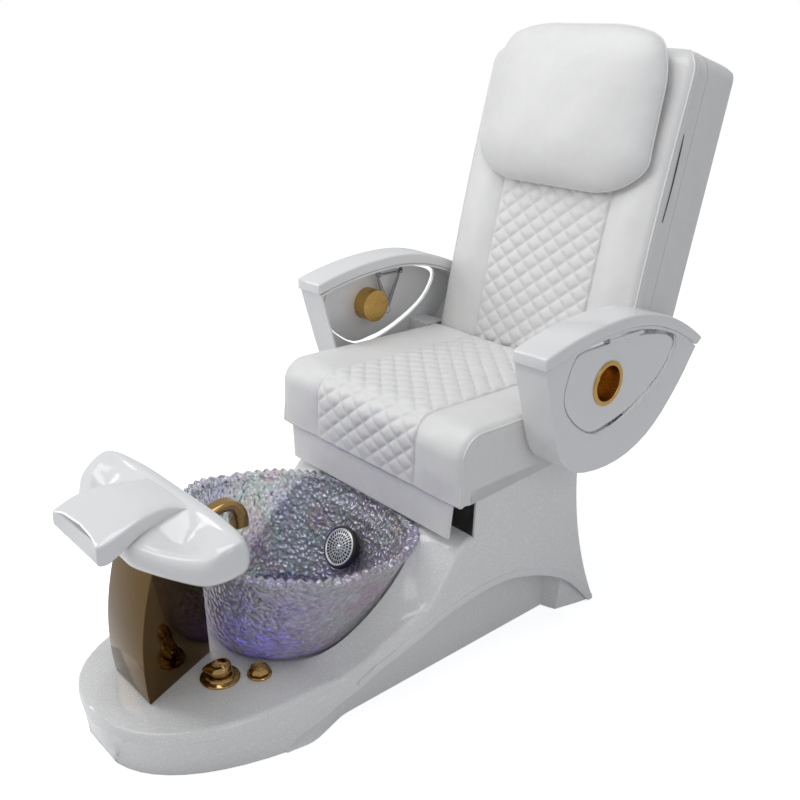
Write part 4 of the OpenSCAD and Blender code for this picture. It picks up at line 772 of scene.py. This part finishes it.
finished(bm, "drain_handle", "drain_control", tap_gold, 24, "bronze", "drain_knob")

softened("spout_column", "spout_pillar", "base", tap_gold, 1.2, "bronze")
spout_z = deck_h + 254
spout_line = through([(-578, 8, 12, 9), (-556, 9, 16, 10), (-520, 20, 16, 10.5), (-486, 35, 16.5, 11),
    (-455, 43, 17.5, 12), (-433, 37, 18.5, 14), (-421, 20, 19.5, 16), (-417, 1, 20, 17), (-416, -14, 20, 17)], 5)
spout_steps = 40

def spout_point(i, j):
    y, z, half, deep = spout_line[j]
    (y0, z0), (y1, z1) = [spout_line[max(0, min(len(spout_line) - 1, k))][:2] for k in (j - 1, j + 1)]
    run = math.hypot(y1 - y0, z1 - z0)
    a = math.tau * (i % spout_steps) / spout_steps
    c, s = squared(math.cos(a), 3.4), squared(math.sin(a), 3.4)
    hollow = 2.6 * (1 - c * c) * smooth((y + 500) / 60) if s > 0 and y < -425 else 0
    n = deep * s - hollow
    return tap_places[2][0] + half * c, y - n * (z1 - z0) / run, spout_z + z + n * (y1 - y0) / run

bm = formed(spout_steps, len(spout_line) - 1, spout_point)
mouth = [f for f in bm.faces if len(f.verts) > 8 and f.calc_center_median().y > -440]
bmesh.ops.inset_region(bm, faces=mouth, thickness=2.4)
bmesh.ops.transform(bm, matrix=Matrix.Translation((0, 0, 9)), verts=[v for f in mouth for v in f.verts])
turned(bm, [(0, -1), (15, -1), (15.4, 0), (15.4, 12), (14, 16.5), (10, 19.4), (0, 20.4)],
    Matrix.Translation((*tap_places[2], spout_z + 0.6)), 48)
finished(bm, "spout_arm", "spout", tap_gold, 40, "bronze", "spout")

# ---------------------------------------------------------------- armrests
# Each is a gloss white tub with a rounded cap, a tray that folds out on a dark chrome hinge and
# stay, and a brushed gold cup holder set in the tray.
dark_chrome = worn("dark_chrome", (0.34, 0.34, 0.36), 60.0, 0.10, 0.12, 0.05)
cup_gold = worn("brushed_gold", (0.58, 0.36, 0.11), 160.0, 0.17, 0.18, 0.12, stretch=(0.05, 1, 1))

def reach_forward(obj):
    """The tray's front and lower edges run on to the edge of the opening. Its rear edge leaves a
    hand's gap."""
    spots = [(v, v.co.y * 1000 - MID - 240, v.co.z * 1000 - 684) for v in obj.data.vertices]
    rim, stretch = [0.0] * 36, 0.013
    for v, y, z in spots:
        k = int(math.degrees(math.atan2(z, y)) % 360 / 10)
        rim[k] = max(rim[k], math.hypot(y, z))
    for v, y, z in spots:
        a = math.degrees(math.atan2(z, y)) % 360
        share = smooth((math.hypot(y, z) / rim[int(a / 10)] - 0.72) / 0.18)
        ahead = smooth((a - 140) / 25) * smooth((262 - a) / 30)
        v.co.y += stretch * share * ahead * math.cos(math.radians(a))
        v.co.z += stretch * share * ahead * math.sin(math.radians(a))

tub = None
for side in ("left", "right"):
    arm, swing = "arm_" + side, "tray_" + side
    tub = softened("arm_shell_" + side, "arm_tub_" + side, arm, gel_plain, 3.0, "gloss_white", 4, mouth=0.3125,
        twin=tub)
    softened("arm_cap_" + side, "arm_top_" + side, arm, gel_plain, 7.0, "gloss_white", 5)
    reach_forward(softened(swing, "fold_tray_" + side, swing, gel_plain, 4.6, "gloss_white", 5))
    softened("tray_hinge_" + side, "tray_hanger_" + side, arm, dark_chrome, 0.6, "dark_chrome", 2)
    softened("tray_stay_" + side, "tray_leg_" + side, "stay_" + side, dark_chrome, 0.8, "dark_chrome", 2)
    softened("cup_" + side, "cup_holder_" + side, swing, cup_gold, 1.4, "gold_brushed")

# ---------------------------------------------------------------- seat cushion
# Moulded foam under white leather: a quilted middle with stitched diamonds, plain side rolls sewn
# to it along a thin seam, a waterfall front and a welt along each side edge.
leather_grain, nodes, given, gives = group("leather_grain", "Float", Scale=420.0, Rough=0.4, Crease=0.35)
pores = add(nodes, "ShaderNodeTexVoronoi", feature="F1", Vector=given["Vector"], Scale=given["Scale"])
folds = add(nodes, "ShaderNodeTexNoise", Vector=given["Vector"], Scale=26.0, Detail=5.0, Roughness=0.62,
    Distortion=0.6).outputs[0]
feed(gives["Height"], maths(nodes, "MULTIPLY_ADD", folds, given["Crease"], pores.outputs["Distance"]))
feed(gives["Tone"], ranged(nodes, folds, 0.25, 0.75, 0.965, 1.02))
feed(gives["Roughness"], maths(nodes, "MULTIPLY_ADD", folds, 0.14, given["Rough"]))
white_leather = paint("white_leather", (0.79, 0.785, 0.775), leather_grain,
    {"Scale": 520.0, "Rough": 0.33, "Crease": 0.9},
    {"Sheen Weight": 0.05, "Coat Weight": 0.12, "Coat Roughness": 0.35}, 0.22, 0.0006)

seat_w, seat_top, seat_l, seat_y0, seat_front_z, seat_under, front_roll = 606, 592, 504, -120, 437, 466.5, 56
quilt, diamond_x, puff, corner = 162, 27, 4.6, 20
fine = 8                       # rows and columns of the mesh in half a diamond

def seat_path(s):
    """Place on the seat's middle line and the way it faces, s mm up from its front lower edge."""
    up = seat_top - front_roll - seat_front_z
    bend = front_roll * math.pi / 2
    if s < up:
        return (seat_y0, seat_front_z + s), (-1, 0)
    if s < up + bend:
        a = (s - up) / front_roll
        c, d = math.cos(a), math.sin(a)
        return (seat_y0 + front_roll * (1 - c), seat_top - front_roll + front_roll * d), (-c, d)
    return (seat_y0 + front_roll + s - up - bend, seat_top), (0, 1)

seat_run = seat_top - front_roll - seat_front_z + front_roll * math.pi / 2 + seat_l - front_roll
seat_rows = 2 * round(seat_run / 44)

def quilt_columns(half):
    """Where the mesh's columns lie from the middle line out to the edge."""
    inner = [diamond_x * k / fine for k in range(6 * fine + 1)]
    seam = [quilt + d for d in (1.2, 2.4, 3.6, 5.0, 7.0, 10.0)]
    roll = [quilt + 10 + (half - corner - quilt - 10) * k / 24 for k in range(1, 25)]
    edge = [half - corner + corner * math.sin(math.pi / 2 * k / 10) for k in range(1, 11)]
    return inner + seam + roll + edge

def tuft(p, q):
    """Puff inside one stitched diamond, from 0 on its seams to 1 at its middle."""
    return math.prod(1 - abs(v % 2 - 1) ** 2.6 for v in (p, q)) ** 0.8

def ripple(x, s, seed):
    """Slow, shallow hollows that pulled leather takes between its seams."""
    return (math.sin(x * 0.031 + s * 0.017 + seed) * math.sin(s * 0.023 - x * 0.012 + 2 * seed)
        + 0.6 * math.sin(x * 0.055 - s * 0.041 + 3 * seed))

def padded_out(x, s, row_step, half, roll_h, seed):
    """How far the cover stands out: tufts in the middle, a sunk seam beside them, then the plain roll."""
    a, seam = abs(x), 5.5
    if a <= quilt + 0.01:
        across, up = x / diamond_x, s / row_step
        return puff * tuft(across + up, across - up) * (0.35 + 0.65 * min(1.0, (quilt - a) / 9)) + 0.8
    if a < quilt + seam:
        d = (a - quilt) / seam
        return 0.8 - 3.0 * math.sin(math.pi * d) + 1.6 * math.exp(-((d - 0.5) / 0.16) ** 2)
    k = (a - quilt - seam) / (half - quilt - seam)
    swell = roll_h * math.sin(math.pi * min(1, k * 1.02)) ** 0.75
    b = max(0.0, a - half + corner) / corner
    fold = 1.1 * ripple(x, s, seed) * math.sin(math.pi * k) * (0.4 + 0.6 * k)
    return swell + fold - (corner - 4) * (1 - math.sqrt(max(0.0, 1 - b * b)))

def cushion(half, run, rows, path, under, narrow, fade, roll_h, seed):
    """Padded form: its face follows a path up the middle, and its sides run back to the under line."""
    columns = quilt_columns(half)
    side = [0.08, 0.2, 0.4, 0.6, 0.8, 0.93, 1.0]
    n = len(columns)
    across = 2 * (n - 1) + 2 * len(side)
    along = rows * fine
    def shape(i, j):
        s = run * j / along
        (y, z), (ny, nz) = path(s)
        by, bz = under(s)
        k = i - len(side)
        f = narrow(s)
        if 0 <= k <= 2 * (n - 1):
            x = columns[abs(k - n + 1)] * (-1 if k < n - 1 else 1)
            out = padded_out(x, s, run / rows, half, roll_h, seed) * fade(s)
            return x * f, y + ny * out, z + nz * out
        d = side[-k - 1] if k < 0 else side[k - 2 * (n - 1) - 1]
        out = padded_out(half, s, run / rows, half, roll_h, seed) * fade(s)
        y, z = y + ny * out, z + nz * out
        draw = 3.5 * math.sin(math.pi * d) - 0.6 * ripple(s * 0.7, d * 90, seed + 1) * math.sin(math.pi * d)
        x = (half - draw) * f * (-1 if k < 0 else 1)
        return x, y + (by - y) * d, z + (bz - z) * d
    return formed(across, along, shape)

def seat_under_line(s):
    (y, z), _ = seat_path(s)
    if z < seat_under and y < seat_y0 + 1:
        return seat_y0 + 30, z
    low = seat_under - seat_front_z
    return seat_y0 + 30 + (seat_l - 30) * (s - low) / (seat_run - low), seat_under

def welt(name, line, radius, body):
    """Corded edge: a thin leather tube sewn along a line of points."""
    curve = bpy.data.curves.new(name, "CURVE")
    curve.dimensions = "3D"
    curve.bevel_depth = radius * 0.001
    curve.bevel_resolution = 3
    curve.use_fill_caps = True
    spline = curve.splines.new("POLY")
    spline.points.add(len(line) - 1)
    for point, (x, y, z) in zip(spline.points, line):
        point.co = (x * 0.001, (y + MID) * 0.001, z * 0.001, 1)
    made = placed(name, curve)
    mesh = bpy.data.meshes.new_from_object(made.evaluated_get(bpy.context.evaluated_depsgraph_get()))
    bpy.data.objects.remove(made)
    fitted(placed(name, mesh), body, white_leather, 60, "leather_white")

def seat_fade(s):
    return 0.35 + 0.65 * smooth(s / 60) if s < 300 else 0.35 + 0.65 * smooth((seat_run - s) / 30)

bm = cushion(seat_w / 2, seat_run, seat_rows, seat_path, seat_under_line, lambda s: 1.0, seat_fade, 8.0, 0.7)
finished(bm, "seat_pad", "seat", white_leather, 180, "leather_white", "seat_cushion", fill=0.85)
welt_in, welt_sunk = 4.2, 5.5

def seat_edge(side, s, inward, drop):
    (y, z), (ny, nz) = seat_path(s)
    return side * (seat_w / 2 - inward), y - ny * drop, z - nz * drop

for side, word in ((1, "left"), (-1, "right")):
    places = [seat_run * k / 110 for k in range(111)]
    welt("seat_welt_" + word, [seat_edge(side, s, welt_in, welt_sunk * seat_fade(s)) for s in places], 2.6, "seat")

# ---------------------------------------------------------------- seat apron
# A leather-covered flap that hangs from the seat's front edge and swings over the bowl's rim.
apron_w, apron_h, apron_t, apron_cols, apron_rows = 534, 86, 8, 60, 30
apron_y = seat_y0 + 4

def apron_point(i, j):
    """i runs across the front and back over the rear, and j from the hem up to the seat."""
    k, u = j / apron_rows, i / apron_cols
    z = seat_front_z - 0.3 - apron_h * (1 - k)
    half = apron_w / 2 + 8 * k
    wave = 0.8 * math.sin(u * 9 + k * 3) * math.sin(math.pi * k)
    if i <= apron_cols:
        curl = 1.4 * max(0.0, abs(2 * u - 1) - 0.97) / 0.03
        return -half + 2 * half * u, apron_y + 0.2 + wave * 0.4 + curl, z
    u = max(0.0, min(1.0, (i - apron_cols - 2) / apron_cols))
    return half - 2 * half * u, apron_y + apron_t - 0.2, z

round_it = 2 * apron_cols + 3
bm = formed(round_it, apron_rows, lambda i, j: apron_point(i % round_it, j))
round_off(bm, sharp_edges(bm, 0.9), 2.4, 3)
finished(bm, "front_flap", "seat", white_leather, 60, "leather_white", "seat_apron", fill=0.9)

# ---------------------------------------------------------------- back
# A steel frame inside an upholstered case. Its face is quilted like the seat between two plain
# rolls, a welt runs round its edge, and a long zip closes the case down its left side.
back_w, back_l, back_y, back_z, lean, cushion_t, crown = 588, 790, 388, 545, 12.5, 55, 9
sin_lean, cos_lean = math.sin(math.radians(lean)), math.cos(math.radians(lean))

def on_back(x, n, z):
    """Point at x across, n behind and z up the back's own lower front edge."""
    return x, back_y + n * cos_lean + z * sin_lean, back_z - n * sin_lean + z * cos_lean

low_r, top_r = 20, 45          # roundings at the back's lower and upper edges
back_run = (low_r + top_r) * math.pi / 2 + back_l - low_r - top_r
back_rows = 2 * round(back_run / 46)

def back_path(s):
    """Place on the back's middle line and the way it faces, s mm up round its lower edge."""
    l0, l1 = low_r * math.pi / 2, back_l - low_r - top_r
    if s < l0:
        c, d = math.cos(s / low_r), math.sin(s / low_r)
        return (low_r - low_r * d, low_r - low_r * c), (-d, -c)
    if s < l0 + l1:
        return (-crown * math.sin(math.pi * (s - l0) / l1), low_r + s - l0), (-1, 0)
    a = (s - l0 - l1) / top_r
    c, d = math.cos(a), math.sin(a)
    return (top_r - top_r * c, back_l - top_r + top_r * d), (-c, d)

def back_narrow(s):
    b = max(0.0, back_path(s)[0][1] - back_l + 60) / 60
    return 1 - 0.19 * (1 - math.sqrt(max(0.0, 1 - b * b)))

def back_fade(s):
    z = back_path(s)[0][1]
    return min(1.0, 0.3 + 0.7 * smooth(z / 30)) * (0.3 + 0.7 * smooth((back_l - z) / 40))

bm = cushion(back_w / 2, back_run, back_rows, back_path, lambda s: (cushion_t - 0.3, back_path(s)[0][1]),
    back_narrow, back_fade, 9.0, 2.1)
for v in bm.verts:
    v.co = Vector(on_back(v.co.x, v.co.y, v.co.z))
finished(bm, "back_pad", "back", white_leather, 180, "leather_white", "back_cushion", fill=0.85)

for side, word in ((1, "left"), (-1, "right")):
    line = []
    for s in [back_run * k / 125 for k in range(4, 125)]:
        (n, z), (nn, nz) = back_path(s)
        drop = welt_sunk * back_fade(s)
        line.append(on_back(side * (back_w / 2 - welt_in) * back_narrow(s), n - nn * drop, z - nz * drop))
    welt("back_welt_" + word, line, 2.8, "back")

softened("back_cover", "back_case", "back", white_leather, 3.0, "leather_white", flat=40)

zip_tape = worn("zip_tape", (0.05, 0.05, 0.052), 900.0, 0.5, 0.2, 0.4, 0.0)
zip_z, zip_l, zip_rows = 415, 195, 60

def zip_point(i, j):
    u = j / zip_rows
    gap = 1.9 * math.sin(math.pi * u) ** 0.5
    x, n = ((-3.0, -gap), (-1.0, -gap), (-1.0, gap), (-3.0, gap))[i % 4]
    return on_back(back_w / 2 + x, 20 + 3 * math.sin(math.pi * u) + n, zip_z + zip_l * u)

finished(formed(4, zip_rows, zip_point), "case_zip", "back", zip_tape, 40, "black_plastic")

# ---------------------------------------------------------------- head pillow
# A loose-filled leather pillow with a bare front, welted round its edge and hung from two straps
# over the top of the back.
pillow_y, pillow_t, pillow_low, pillow_mid, pillow_high = -0.9 * crown - 8.4 - 0.3, 66, 455, 640, 824
pillow_steps, pillow_front, pillow_rows = 120, 28, 40
pillow_sides = through([(pillow_low, 100), (458, 146), (477, 202), (520, 250), (570, 252), (pillow_mid, 250),
    (720, 246), (780, 225), (805, 195), (819, 140), (pillow_high, 90)], 6)

def pillow_edge(angle):
    """Where a ray from the pillow's middle meets its outline."""
    c, s = abs(math.cos(angle)), math.sin(angle)
    lo, hi = 0.0, 420.0
    for _ in range(22):
        mid = (lo + hi) / 2
        z = pillow_mid + mid * s
        inside = pillow_low < z < pillow_high and mid * c < height_on(pillow_sides, z)
        lo, hi = (mid, hi) if inside else (lo, mid)
    return lo

pillow_rays = [pillow_edge(math.tau * k / pillow_steps) for k in range(pillow_steps)]

def pillow_point(i, j):
    angle = math.tau * (i % pillow_steps) / pillow_steps
    reach = pillow_rays[i % pillow_steps]
    front = j <= pillow_front
    if front:
        r = math.sin(math.pi / 2 * j / pillow_front)
        n = -(pillow_t - 16) * (1 - r ** 3.2) ** 0.62 - 12
    else:
        r = math.cos(math.pi / 2 * (j - pillow_front) / (pillow_rows - pillow_front))
        n = -12 + 12 * (1 - r ** 6)
    x, z = reach * r * math.cos(angle), pillow_mid + reach * r * math.sin(angle)
    pucker = 1.4 * math.sin(angle * 23) * math.exp(-((r - 0.93) / 0.06) ** 2) if front else 0
    soft = 1.6 * ripple(x * 0.6, z * 0.6, 1.3) * (1 - r ** 4) if front else 0
    return on_back(x, pillow_y + n + pucker * 0.6 + soft, z)

bm = bmesh.new()
skin(bm, pillow_steps, pillow_rows, pillow_point)
finished(bm, "neck_pillow", "back", white_leather, 75, "leather_white", "head_pillow", fill=0.75)
line = []
for k, r in enumerate(pillow_rays + pillow_rays[:1]):
    a = math.tau * (k % pillow_steps) / pillow_steps
    line.append(on_back(r * 1.003 * math.cos(a), pillow_y - 12, pillow_mid + r * 1.003 * math.sin(a)))
welt("pillow_welt", line, 1.9, "back")
softened("pillow_straps", "pillow_hangers", "back", white_leather, 0.8, "leather_white", 2)
